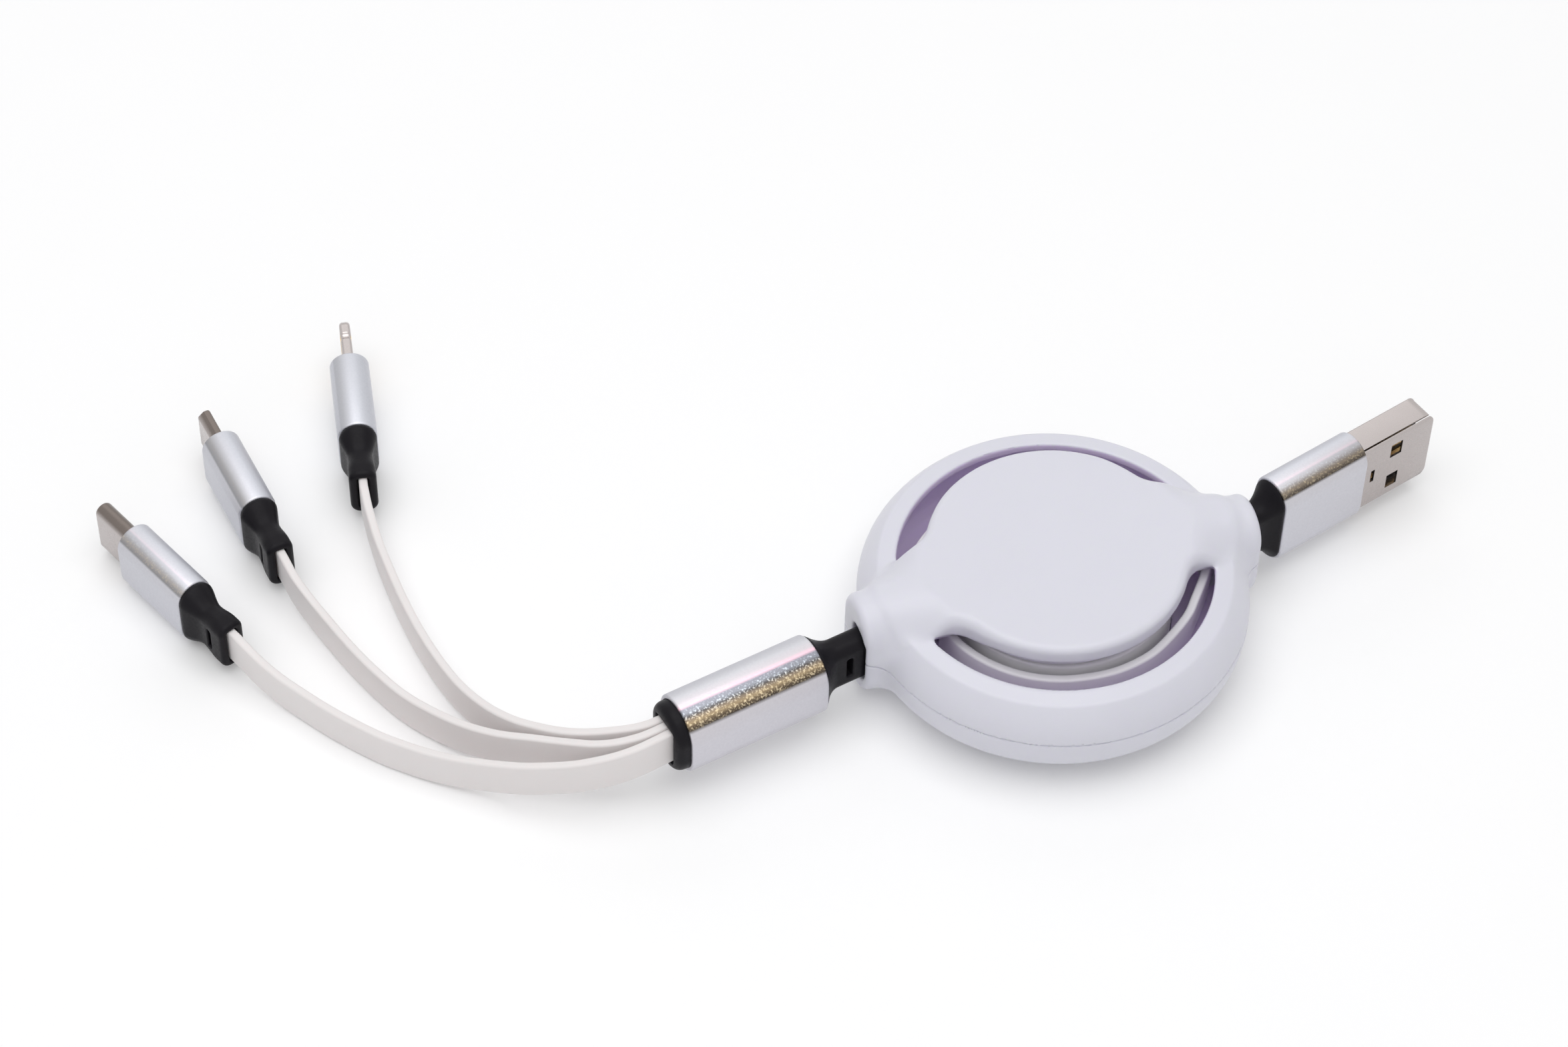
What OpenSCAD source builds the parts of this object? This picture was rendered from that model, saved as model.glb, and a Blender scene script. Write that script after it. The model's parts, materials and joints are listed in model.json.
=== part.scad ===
/* [Reel housing] */
// Diameter of the housing at its seam
reel_d = 52.4; // [51.6:0.2:58]
// Height of the closed housing
reel_t = 18.1; // [17.9:0.1:21]
// Wall of both shells
shell_wall = 1.4; // [1.2:0.1:1.5]
// Radius of the raised centre disc and of the foot below it
disc_r = 17.5; // [17.4:0.1:18]
// Radial width of the crescent windows
window_w = 3.6; // [3:0.1:3.8]
// Half angle of the bridges between the windows
bridge_a = 19.7; // [18:0.1:24]
// Fillet in the inner corners of a window
window_fillet = 1.7; // [1:0.1:2]
// Drop from the disc top to the rim at a window's outer edge
rim_drop = 3.45; // [3.3:0.05:3.6]
// Depth of the disc's edge seen through a window
skirt_h = 2.75; // [2:0.05:3]
// How far the register lip of the lower shell reaches into the upper one
lip_h = 1; // [0.6:0.1:1.4]

/* [Ports] */
// Distance from the reel axis to the end face of a neck
neck_end = 28.2; // [28:0.1:30]
// Width of a neck
neck_w = 9.1; // [8.8:0.1:10]
// Height of a neck
neck_h = 15.4; // [14.8:0.1:15.8]
// Rounding of the neck's lip
neck_lip = 1.2; // [0.6:0.1:1.4]
// Width of the port slot
port_w = 7.2; // [7.2:0.1:7.4]
// Height of the port slot
port_h = 9; // [8.8:0.1:10]

/* [Flat cable] */
// Width of the flat cable
cable_w = 5.8; // [5:0.1:5.9]
// Thickness of the flat cable
cable_t = 1.2; // [1:0.05:1.25]
// Growth of one wound strand in each turn
strand_pitch = 2.6; // [2.55:0.05:2.7]
// Full turns of each strand before it dives into the hub
wound_turns = 3; // [2:1:3]
// Middle of the outermost wound strand
wound_r = 15.6; // [15.2:0.1:15.7]

/* [Spool and spring] */
// Radius of the fixed post
post_r = 2.4; // [2.2:0.05:2.6]
// Running clearance of the spool on the post
post_fit = 0.08; // [0.04:0.01:0.1]
// Radius of the hub
hub_r = 6.9; // [6.7:0.05:7]
// Radius of the lower flange
flange_r = 16; // [15.6:0.1:16.1]
// Gap between the spring barrel and the wall of the disc around it
barrel_gap = 1.1; // [0.7:0.1:1.5]
// Thickness of the flanges
flange_t = 0.9; // [0.7:0.1:1]
// Running gap between the turning and the fixed pieces
run_gap = 0.2; // [0.15:0.05:0.25]
// Thickness of the spring strip
strip_t = 0.25; // [0.2:0.05:0.35]
// Turns of the power spring
spring_turns = 8; // [6:1:9]
// Radius of the latch ball
ball_r = 1; // [0.9:0.05:1.05]
// Travel of the latch ball towards the post
ball_travel = 1.4; // [1.2:0.1:1.5]

/* [USB-A plug] */
// Turn of the plug about its port, in degrees
usb_a_yaw = 16.4; // [10:0.1:16.5]
// Length of the aluminium sleeve
usb_a_len = 14.4; // [13:0.1:18]
// Height of the sleeve
usb_a_h = 14.5; // [14.4:0.1:15.5]
// Thickness of the sleeve
usb_a_w = 6.35; // [6.3:0.05:7.5]
// Reach of the steel shell past the sleeve
usb_a_reach = 12.5; // [12:0.1:13]

/* [Splitter] */
// Turn of the splitter about its port, in degrees
splitter_yaw = 11.2; // [8:0.1:11.4]
// Length of the aluminium sleeve
splitter_len = 20.4; // [18:0.1:22]
// Height of the sleeve
splitter_h = 11.7; // [11:0.1:13]
// Thickness of the sleeve
splitter_w = 8.9; // [8.4:0.1:9.6]
// Reach of the end cap past the sleeve
cap_len = 1.8; // [1.2:0.1:2.4]

/* [Small plugs] */
// Length of each small sleeve
small_len = 13.4; // [12:0.1:14]
// Height of each small sleeve
small_h = 10.4; // [10.2:0.1:10.6]
// Thickness of each small sleeve
small_w = 5.45; // [5.2:0.05:6.4]
// Length of each small boot
small_boot = 9.2; // [8.5:0.1:9.2]
// Reach of the USB-C shell
usb_c_reach = 6.7; // [6.4:0.05:7]
// Reach of the micro shell
micro_reach = 6; // [5.5:0.05:6.4]
// Reach of the eight-pin tab
eight_pin_reach = 8.4; // [7:0.05:8.6]

/* [Hidden] */
$fn = 72;
eps = 0.01;

// Housing levels, measured up from the seam plane
seam_z = reel_t / 2;
half_t = reel_t / 2;
reel_r = reel_d / 2;
ceiling = half_t - shell_wall;
rim_top = half_t - rim_drop;
rim_under = rim_top - shell_wall;
window_r = disc_r + window_w;
ridge_r = reel_r - 1.6;
ridge_h = rim_top - 1.3;
cavity_r = reel_r - shell_wall;
disc_cavity_r = disc_r - shell_wall;
bridge_drops = [1.6, 2.6, 3.6];
edge_round = 0.6;
lip_gap = 0.1;
lip_t = 0.7;
lip_taper = 0.35;
neck_start = disc_r + 1.5;
neck_blend = neck_end - 1.9;
bridge_spread = 4.1;
bridge_drop = 1.05;
port_round = 1.6;
port_start = disc_r + 3.3;

// Spool levels, measured up from the seam plane
cable_half = cable_w / 2;
flange_top = cable_half + run_gap;
cam_t = 1;
cam_in = 8.4;
cam_out = 14.5;
cam_under = flange_top + flange_t + cam_t;
barrel_r = disc_cavity_r - barrel_gap;
barrel_wall = 0.9;
barrel_top = ceiling - 0.45;
cover_t = 0.35;
cover_seat = 0.4;
cover_gap = 0.08;
pad_r = 4;
pad_h = 0.35;
post_top = ceiling + 0.25;
boss_top = cam_under + run_gap;
ball_rest = 12.1;
ball_gap = 0.1;
ball_h = -(flange_top + flange_t + ball_gap + ball_r);
ball_track = ball_r + 0.15;
pocket_half = ball_r + 0.25;
ledge_in = flange_r + 0.4;
ledge_out = 19;
ledge_gap = 0.1;

// Route of a wound strand
fold_turns = 0.5;
fold_r = 4.3;
hub_clear = 0.15;
strand_steps = 24;
end_of_a = 180;

// Spring levels
spring_gap = 0.2;
eye_r = post_r + 0.25;
spring_in = eye_r + strip_t / 2;
eye_share = 0.8 / spring_turns;
spring_out = barrel_r - barrel_wall - spring_gap - strip_t / 2;
spring_low = flange_top + flange_t + spring_gap;
spring_high = barrel_top - cover_t - spring_gap;
spring_steps = 20;

// Tails between the boots and the spool, seen from above; the splitter's lies opposite
plug_pivot = [23, 0];
splitter_pivot = [-19.9, 0];
plug_tail_points = [
    [24.2, 0.3], [22.5, -1.0], [20.9, -3.1], [19.5, -5.3], [16.7, -8.8], [14.0, -11.8]
];
splitter_tail_points = [
    [-24.3, -0.8], [-22.4, 0.6], [-20.8, 2.9], [-19.5, 5.3], [-16.7, 8.8], [-14.0, 11.8]
];
tail_gap = 0.05;
tail_ring_start = 17.7;
tail_ring_end = 17.1;
tail_from = 60;
tail_to = 170;
tail_ring_steps = 9;
tail_smooth = 3;

// Boots, along each plug's own axis
collar_h = 8;
collar_w = 3.6;
collar_round = 1.5;
plug_collar_back = 2.7;
plug_flare = 6.3;
plug_sleeve_back = 9.7;
splitter_collar_back = 6;
splitter_flare = 12.3;
splitter_sleeve_back = 15.43;
boot_slot = [0.8, 3.4];
corner_steps = 5;

// Sleeves and shells
sleeve_wall = 0.5;
core_gap = 0.02;
cap_gap = 0.05;
usb_a_shell = [4.5, 12];
usb_a_shell_wall = 0.3;
usb_a_shell_round = 0.8;
usb_a_root = 5;
usb_a_hole = [2, 2.5];
usb_a_hole_from_tip = 5.5;
usb_a_hole_spacing = 6.2;
usb_a_slit = [0.4, 2.3];
usb_a_slit_x = 2.15;
tongue_t = 1.84;
tongue_inset = 1;
tongue_side = 0.5;
usb_a_contact_len = [7.6, 8.6];
usb_a_contact = [0.15, 1];
usb_c_size = [2.56, 8.34];
usb_c_wall = 0.25;
micro_size = [1.8, 6.85];
micro_wall = 0.25;
small_root = 4.5;
usb_c_slot = [1.1, 6.4];
micro_tongue = [0.6, 4.6];
micro_tongue_y = -0.3;
tab_size = [1.5, 6.7];
tab_round = 1.6;
contact_x = 5;
contact_len = 2.8;
contact_pitch = 0.68;

// Cords: points of each middle line, from the splitter's cap to the plug's boot
small_z = small_h / 2;
cord_pitch = 1.3;
usb_c_place = [-113.8, 48.26, 113.4];
micro_place = [-98.53, 61.24, 97.9];
eight_pin_place = [-77.88, 69.95, 79.7];
usb_c_route = [
    [-58.6, -9.0, 8.9], [-60.9, -9.3, 8.6], [-63.5, -9.3, 8.2], [-66.2, -8.9, 7.7],
    [-69.6, -7.9, 6.9], [-74.2, -5.7, 5.7], [-77.3, -3.8, 4.9], [-80.2, -1.7, 4.1],
    [-83.2, 0.5, 3.5], [-86.0, 2.8, 3.1], [-88.8, 5.3, 3.0], [-91.5, 8.0, 2.95],
    [-95.6, 13.0, 2.95], [-99.2, 18.2, 3.0], [-101.2, 21.0, 3.5], [-103.0, 23.8, 4.3]
];
micro_route = [
    [-58.6, -7.6, 8.9], [-60.6, -7.7, 8.7], [-63.4, -7.3, 8.3], [-66.0, -6.3, 7.8],
    [-68.5, -4.7, 7.2], [-70.8, -3.0, 6.5], [-72.9, -1.4, 5.9], [-76.6, 1.4, 4.8],
    [-80.0, 4.8, 3.8], [-83.1, 8.6, 3.2], [-86.1, 12.9, 2.95], [-88.6, 17.9, 2.95],
    [-90.7, 23.3, 2.95], [-92.5, 28.8, 3.1], [-93.7, 32.2, 3.6], [-94.8, 35.6, 4.4]
];
eight_pin_route = [
    [-58.8, -6.2, 8.9], [-60.8, -6.0, 8.7], [-63.2, -5.3, 8.3], [-66.2, -4.1, 7.7],
    [-69.0, -2.4, 7.0], [-71.8, 0.1, 6.1], [-74.4, 3.0, 5.2], [-76.8, 6.9, 4.3],
    [-78.8, 11.9, 3.4], [-80.2, 17.4, 3.0], [-81.2, 23.0, 2.95], [-81.8, 28.6, 2.95],
    [-82.1, 34.0, 3.0], [-82.3, 38.6, 3.4], [-82.3, 41.8, 4.0], [-82.2, 44.8, 4.6]
];

function polar(r, a) = [r * cos(a), r * sin(a)];
function unit(v) = v / norm(v);
function smooth(t) = t * t * (3 - 2 * t);

// One point of a curve that passes through b and c, with a and d as their neighbours
function curve_point(a, b, c, d, t) =
    (2 * b + (c - a) * t + (2 * a - 5 * b + 4 * c - d) * t * t
    + (3 * b - a - 3 * c + d) * t * t * t) / 2;

function curve(points, steps) = let (last = len(points) - 1) [
    for (i = [0:last - 1], k = [0:steps - 1])
        curve_point(
            points[max(i - 1, 0)], points[i], points[i + 1], points[min(i + 2, last)], k / steps
        ),
    points[last]
];

function heading(points, i) =
    unit(points[min(i + 1, len(points) - 1)] - points[max(i - 1, 0)]);

function beside(points, i, offset) =
    let (u = heading(points, i)) points[i] + offset * [-u[1], u[0]];

// Outline of a strip of the given thickness along points in the plane
module strip_2d(points, thickness) {
    last = len(points) - 1;
    left = [for (i = [0:last]) beside(points, i, thickness / 2)];
    right = [for (i = [last:-1:0]) beside(points, i, -thickness / 2)];
    polygon(concat(left, right));
}

module stadium_2d(w, h) {
    square([w, h - w], center = true);
    translate([0, (h - w) / 2]) circle(d = w);
    translate([0, (w - h) / 2]) circle(d = w);
}

module rounded_2d(w, h, r) {
    square([w - 2 * r, h], center = true);
    square([w, h - 2 * r], center = true);
    for (x = [-1, 1], y = [-1, 1]) {
        translate([x * (w / 2 - r), y * (h / 2 - r)]) circle(r = r, $fn = 32);
    }
}

// Runs a section along X: its first axis lies across, its second one upright
module along_x(x0, x1) {
    translate([x0, 0, 0]) rotate([90, 0, 90]) linear_extrude(x1 - x0) children();
}

// Points of an upright rounded section at x, for lofts
function section(x, w, h, r) = [
    for (c = [0:3], k = [0:corner_steps])
        let (
            a = 90 * c + 90 * k / corner_steps,
            side = (c == 0 || c == 3) ? 1 : -1,
            top = c < 2 ? 1 : -1
        )
        [x, side * (w / 2 - r) + r * cos(a), top * (h / 2 - r) + r * sin(a)]
];

// Closed solid through rings with the same number of points
module loft(rings) {
    n = len(rings[0]);
    last = len(rings) - 1;
    points = [for (ring = rings, p = ring) p];
    sides = [
        for (i = [0:last - 1], k = [0:n - 1], half = [0, 1])
            let (a = i * n + k, b = i * n + (k + 1) % n)
            half == 0 ? [a, b, b + n] : [a, b + n, a + n]
    ];
    start = [for (k = [n - 1:-1:0]) k];
    end = [for (k = [0:n - 1]) last * n + k];
    polyhedron(points, concat([start], sides, [end]));
}

// Housing
function rim_outside() = [
    for (k = [0:6]) let (t = k / 6) [reel_r - (reel_r - ridge_r) * t * t, ridge_h * t],
    for (k = [1:4])
        let (t = k / 4)
        [ridge_r - (ridge_r - window_r) * t, ridge_h + (rim_top - ridge_h) * sin(90 * t)]
];

function rim_inside() = [
    [window_r, rim_under],
    for (k = [3:-1:0])
        let (t = k / 4)
        [cavity_r - (cavity_r - window_r) * t * t, rim_under * (t < 0.3 ? t : sin(90 * t))]
];

module rim() {
    rotate_extrude() polygon(concat(rim_outside(), rim_inside()));
}

module rim_floor() {
    rotate_extrude() translate([disc_cavity_r, rim_under]) {
        square([window_r + 1 - disc_cavity_r, shell_wall]);
    }
}

module disc() {
    rotate_extrude() polygon([
        [0, ceiling],
        [disc_cavity_r, ceiling],
        [disc_cavity_r, half_t - skirt_h],
        [disc_r - 0.2, half_t - skirt_h],
        for (k = [0:4]) [disc_r - edge_round, half_t - edge_round] + polar(edge_round, 22.5 * k),
        [0, half_t]
    ]);
}

// Fillet between the disc's edge and the side of a bridge
function corner_arc(side) =
    let (
        r = disc_r + window_fillet,
        spread = asin(window_fillet / r),
        middle = polar(r, side * (bridge_a + spread))
    )
    [
        for (k = [0:6])
            middle + polar(window_fillet, side * (bridge_a + spread + 180 + (90 - spread) * k / 6))
    ];

module bridge_2d() {
    spread = asin(window_fillet / (disc_r + window_fillet));
    foot_r = disc_r - 1;
    foot_a = bridge_a + spread;
    polygon(concat(
        [for (k = [-6:6]) polar(foot_r, foot_a * k / 6)],
        corner_arc(1),
        [for (k = [6:-1:-6]) polar(ridge_r, bridge_a * k / 6)],
        [for (k = [6:-1:0]) corner_arc(-1)[k]]
    ));
}

module bridge() {
    intersection() {
        translate([0, 0, rim_under]) linear_extrude(half_t - rim_under) bridge_2d();
        rotate_extrude() polygon([
            [disc_r - 2, 0],
            [reel_r, 0],
            [reel_r, half_t - bridge_drops[2]],
            [ridge_r - 0.6, half_t - bridge_drops[1]],
            for (k = [4:-1:0])
                let (t = k / 4)
                [disc_r + (ridge_r - 1.4 - disc_r) * t, half_t - bridge_drops[0] * t * t],
            [disc_r - 2, half_t]
        ]);
    }
}

function lip_inset(x) =
    x > neck_end - neck_lip
        ? neck_lip - sqrt(max(0, pow(neck_lip, 2) - pow(x - neck_end + neck_lip, 2)))
        : 0;
function blend_left(x) = max(0, 1 - (x - neck_start) / (neck_blend - neck_start));
function neck_half_w(x) = neck_w / 2 + bridge_spread * pow(blend_left(x), 2.2) - lip_inset(x);
function neck_top(x) = neck_h / 2 + bridge_drop * pow(blend_left(x), 1.4);
neck_stations = [
    for (k = [0:6]) neck_start + (neck_blend - neck_start) * k / 6,
    for (k = [0:4]) neck_end - neck_lip + neck_lip * sin(22.5 * k)
];

// Upright rounded neck that spreads in a hollow curve into the bridge
module neck() {
    arc_h = neck_h / 2 - neck_w / 2;
    last = len(neck_stations) - 1;
    intersection() {
        union() {
            translate([0, 0, arc_h]) rotate([0, 90, 0]) rotate_extrude() polygon(concat(
                [[0, neck_start]],
                [for (x = neck_stations) [neck_half_w(x), x]],
                [[0, neck_end]]
            ));
            linear_extrude(arc_h) polygon(concat(
                [for (x = neck_stations) [x, neck_half_w(x)]],
                [for (i = [last:-1:0]) [neck_stations[i], -neck_half_w(neck_stations[i])]]
            ));
        }
        rotate([90, 0, 0]) translate([0, 0, -neck_w]) linear_extrude(2 * neck_w) polygon(concat(
            [[neck_start, 0], [neck_end + 1, 0], [neck_end + 1, neck_h / 2]],
            [for (k = [6:-1:0]) let (x = neck_stations[k]) [x, neck_top(x)]]
        ));
    }
}

module port() {
    along_x(port_start, neck_end + 1) rounded_2d(port_w, port_h, port_round);
}

module half_housing(closed) {
    difference() {
        union() {
            rim();
            disc();
            if (closed) rim_floor();
            for (side = [0, 180]) {
                rotate([0, 0, side]) bridge();
                rotate([0, 0, side]) neck();
            }
        }
        rotate_extrude() polygon(concat(
            [[0, -1], [0, ceiling], [disc_cavity_r, ceiling], [disc_cavity_r, rim_under]],
            rim_inside(),
            [[cavity_r, -1]]
        ));
        for (side = [0, 180]) {
            rotate([0, 0, side]) port();
        }
    }
}

module upper_shell() {
    color("ghostwhite") translate([0, 0, seam_z]) difference() {
        union() {
            half_housing(false);
            translate([0, 0, ceiling - pad_h]) cylinder(r = pad_r, h = pad_h + eps);
        }
        translate([0, 0, ceiling - pad_h - eps]) {
            cylinder(r = post_r + post_fit, h = post_top - ceiling + pad_h + 0.1);
        }
    }
}

module register_lip() {
    difference() {
        rotate_extrude() polygon([
            [cavity_r - lip_gap - lip_t, -1.5],
            [cavity_r, -1.5],
            [cavity_r, -0.5],
            [cavity_r - lip_gap, 0],
            [cavity_r - lip_gap - lip_taper, lip_h],
            [cavity_r - lip_gap - lip_t, lip_h]
        ]);
        cube([2 * reel_d, neck_w + 2, 2 * neck_h], center = true);
    }
}

module latch_boss() {
    difference() {
        rotate_extrude() polygon([
            [cam_in, -ceiling - eps], [cam_out - 0.5, -ceiling - eps],
            [cam_out - 0.5, -boss_top], [cam_in, -boss_top]
        ]);
        translate([-ball_track + 0.05, -ball_rest - ball_track, ball_h - ball_r - 0.05]) {
            cube([2 * ball_track - 0.1, ball_travel + 2 * ball_track, 2 * ball_r]);
        }
    }
}

module lower_shell() {
    color("ghostwhite") translate([0, 0, seam_z]) {
        mirror([0, 0, 1]) half_housing(true);
        register_lip();
        translate([0, 0, -ceiling - eps]) cylinder(r = post_r, h = ceiling + post_top + eps);
        latch_boss();
        translate([0, 0, -rim_under - eps]) difference() {
            cylinder(r = ledge_out, h = rim_under - cable_half - ledge_gap + eps);
            translate([0, 0, -1]) cylinder(r = ledge_in, h = rim_under + 1);
        }
    }
}

// Wound cable: both strands run side by side and fold together inside the hub
function strand_r(t) =
    wound_r - strand_pitch * t
    - (t < wound_turns ? 0 : fold_drop() * smooth((t - wound_turns) / fold_turns));
function fold_drop() = wound_r - strand_pitch * (wound_turns + fold_turns) - fold_r;
function strand_a() = let (n = round(strand_steps * (wound_turns + fold_turns))) [
    for (k = [0:n]) let (t = k / strand_steps) polar(strand_r(t), end_of_a - 360 * t)
];
function strand_b() = let (n = round(strand_steps * (wound_turns - 0.5 + fold_turns))) [
    for (k = [0:n])
        let (t = k / strand_steps)
        polar(strand_r(t + 0.5) + strand_pitch / 2, end_of_a - 180 - 360 * t)
];

function fold_middle() = polar(fold_r + strand_pitch / 4, end_of_a - 360 * (wound_turns + fold_turns));

// Outside of the bend that turns the first strand back into the second one
function fold_arc() =
    let (
        out = unit(fold_middle()),
        ahead = [out[1], -out[0]],
        r = strand_pitch / 4 + cable_t / 2
    )
    [for (a = [30:30:150]) fold_middle() + r * (sin(a) * ahead - cos(a) * out)];

module cable_2d() {
    a = strand_a();
    b = strand_b();
    last_a = len(a) - 1;
    last_b = len(b) - 1;
    polygon(concat(
        [for (i = [0:last_a]) beside(a, i, -cable_t / 2)],
        fold_arc(),
        [for (i = [last_b:-1:0]) beside(b, i, cable_t / 2)],
        [for (i = [0:last_b]) beside(b, i, -cable_t / 2)],
        [for (i = [last_a:-1:0]) beside(a, i, cable_t / 2)]
    ));
}

module hub_pocket_2d() {
    intersection() {
        union() {
            strip_2d(strand_a(), cable_t + 2 * hub_clear);
            strip_2d(strand_b(), cable_t + 2 * hub_clear);
            translate(fold_middle()) circle(d = strand_pitch / 2 + cable_t + 2 * hub_clear);
        }
        circle(r = hub_r + 1);
    }
}

module wound_cable() {
    color("white") translate([0, 0, seam_z - cable_half]) linear_extrude(cable_w) cable_2d();
}

module cam_track() {
    depth = cam_t;
    translate([0, 0, -cam_under - eps]) {
        difference() {
            cylinder(r = ball_rest + ball_track, h = depth + eps);
            translate([0, 0, -1]) cylinder(r = ball_rest - ball_track, h = depth + 2);
        }
        for (a = [0:90:270]) {
            rotate([0, 0, a]) translate([ball_rest - ball_travel - ball_track, -pocket_half, 0]) {
                cube([ball_travel + ball_track, 2 * pocket_half, depth + eps]);
            }
        }
    }
}

module spool() {
    color("gainsboro") translate([0, 0, seam_z]) difference() {
        rotate_extrude() polygon([
            [post_r + post_fit, -cam_under],
            [post_r + post_fit, flange_top + flange_t],
            [barrel_r - barrel_wall, flange_top + flange_t],
            [barrel_r - barrel_wall, barrel_top - cover_t],
            [barrel_r - barrel_wall + cover_seat, barrel_top - cover_t],
            [barrel_r - barrel_wall + cover_seat, barrel_top],
            [barrel_r, barrel_top],
            [barrel_r, flange_top],
            [hub_r, flange_top],
            [hub_r, -flange_top],
            [flange_r, -flange_top],
            [flange_r, -flange_top - flange_t],
            [cam_out, -flange_top - flange_t],
            [cam_out, -cam_under],
            [cam_in, -cam_under],
            [cam_in, -flange_top - flange_t],
            [post_r + post_fit + 1.4, -flange_top - flange_t],
            [post_r + post_fit + 1.4, -cam_under]
        ]);
        cam_track();
        translate([0, 0, -flange_top]) linear_extrude(2 * flange_top) hub_pocket_2d();
    }
}

function spring_points() = let (n = spring_steps * spring_turns) [
    for (k = [0:n])
        let (t = max(0, k / n - eye_share) / (1 - eye_share))
        polar(spring_in + (spring_out - spring_in) * t, 360 * k / spring_steps)
];

module power_spring() {
    color("silver") translate([0, 0, seam_z + spring_low]) {
        linear_extrude(spring_high - spring_low) strip_2d(spring_points(), strip_t);
    }
}

module spring_cover() {
    color("white") translate([0, 0, seam_z + barrel_top - cover_t]) difference() {
        cylinder(r = barrel_r - barrel_wall + cover_seat - cover_gap, h = cover_t);
        translate([0, 0, -1]) cylinder(r = post_r + 0.6, h = cover_t + 2);
    }
}

module latch_ball() {
    color("silver") translate([0, -ball_rest, seam_z + ball_h]) sphere(r = ball_r);
}

// Tails: from a boot through its port to the outside of the winding
function tail_ring(turn) = [
    for (k = [0:tail_ring_steps])
        let (t = k / tail_ring_steps)
        polar(
            tail_ring_start + (tail_ring_end - tail_ring_start) * min(1, 3 * t),
            turn - tail_from - (tail_to - tail_from) * t
        )
];

module tail(points) {
    translate([0, 0, seam_z - cable_half]) linear_extrude(cable_w) {
        strip_2d(curve(points, tail_smooth), cable_t);
    }
}

module plug_tail() {
    start = plug_pivot + polar(plug_collar_back - tail_gap, usb_a_yaw);
    color("white") tail(concat([start], plug_tail_points, tail_ring(0)));
}

module splitter_tail() {
    start = splitter_pivot - polar(splitter_collar_back - tail_gap, splitter_yaw);
    color("white") tail(concat([start], splitter_tail_points, tail_ring(180)));
}

// Frames of the plugs: +X runs from the boot to the tip
module at_plug() {
    translate([plug_pivot[0], plug_pivot[1], seam_z]) rotate([0, 0, usb_a_yaw]) children();
}
module at_splitter() {
    translate([splitter_pivot[0], splitter_pivot[1], seam_z]) {
        rotate([0, 0, 180 + splitter_yaw]) children();
    }
}
module at_place(place) {
    translate([place[0], place[1], small_z]) rotate([0, 0, place[2]]) children();
}

// Boot of a reel-side plug: a collar that flares in a hollow curve to the sleeve
module reel_boot(back, flare, front, w, h) {
    difference() {
        loft(concat(
            [
                section(back, collar_w - 0.6, collar_h - 0.6, collar_round - 0.3),
                section(back + 0.3, collar_w, collar_h, collar_round)
            ],
            [
                for (k = [0:6])
                    let (t = k / 6, f = t * t, r = collar_round + (w * 0.49 - collar_round) * f)
                    section(
                        flare + (front - flare) * t,
                        collar_w + (w - collar_w) * f,
                        collar_h + (h - collar_h) * f,
                        r
                    )
            ]
        ));
        translate([flare - 1.6, 0, 0]) cube([boot_slot[0], w, boot_slot[1]], center = true);
    }
}

module sleeve(x0, x1, w, h) {
    along_x(x0, x1) difference() {
        stadium_2d(w, h);
        stadium_2d(w - 2 * sleeve_wall, h - 2 * sleeve_wall);
    }
}

module core_2d(w, h) {
    gap = 2 * (sleeve_wall + core_gap);
    stadium_2d(w - gap, h - gap);
}

// USB-A plug
usb_a_front = plug_sleeve_back + usb_a_len;
usb_a_tip = usb_a_front + usb_a_reach;

module usb_a_boot() {
    color("dimgray") at_plug() {
        reel_boot(plug_collar_back, plug_flare, plug_sleeve_back, usb_a_w, usb_a_h);
    }
}
module usb_a_sleeve() {
    color("lightsteelblue") at_plug() sleeve(plug_sleeve_back, usb_a_front, usb_a_w, usb_a_h);
}
module usb_a_core() {
    color("white") at_plug() difference() {
        along_x(plug_sleeve_back, usb_a_front - 0.2) core_2d(usb_a_w, usb_a_h);
        along_x(usb_a_front - usb_a_root, usb_a_front) {
            rounded_2d(usb_a_shell[0], usb_a_shell[1], usb_a_shell_round);
        }
    }
}
module usb_a_shell() {
    inner = [for (s = usb_a_shell) s - 2 * usb_a_shell_wall];
    color("silver") at_plug() difference() {
        along_x(usb_a_front - usb_a_root, usb_a_tip) difference() {
            rounded_2d(usb_a_shell[0], usb_a_shell[1], usb_a_shell_round);
            rounded_2d(inner[0], inner[1], usb_a_shell_round - usb_a_shell_wall);
        }
        for (side = [-1, 1]) {
            translate([
                usb_a_tip - usb_a_hole_from_tip - usb_a_hole[0] / 2, 0,
                side * usb_a_hole_spacing / 2
            ]) {
                cube([usb_a_hole[0], 2 * usb_a_shell[0], usb_a_hole[1]], center = true);
            }
        }
        translate([usb_a_front + usb_a_slit_x, -usb_a_shell[0] / 2, 0]) {
            cube([usb_a_slit[0], usb_a_shell[0] / 2, usb_a_slit[1]], center = true);
        }
    }
}
module usb_a_tongue() {
    inner = [for (s = usb_a_shell) s - 2 * usb_a_shell_wall];
    front = usb_a_tip - tongue_inset;
    color("dimgray") at_plug() {
        along_x(usb_a_front - usb_a_root, usb_a_front + 1) {
            rounded_2d(
                inner[0] - core_gap, inner[1] - core_gap, usb_a_shell_round - usb_a_shell_wall
            );
        }
        translate([usb_a_front, (inner[0] - core_gap) / 2 - tongue_t, tongue_side - inner[1] / 2]) {
            cube([front - usb_a_front, tongue_t, inner[1] - 2 * tongue_side]);
        }
    }
}
module usb_a_contacts() {
    inner = [for (s = usb_a_shell) s - 2 * usb_a_shell_wall];
    color("gold") at_plug() {
        for (z = [-3.5, -1, 1, 3.5]) {
            length = usb_a_contact_len[abs(z) > 2 ? 1 : 0];
            translate([
                usb_a_tip - tongue_inset - 0.8 - length,
                (inner[0] - core_gap) / 2 - tongue_t - usb_a_contact[0],
                z - usb_a_contact[1] / 2
            ]) {
                cube([length, usb_a_contact[0], usb_a_contact[1]]);
            }
        }
    }
}

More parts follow.
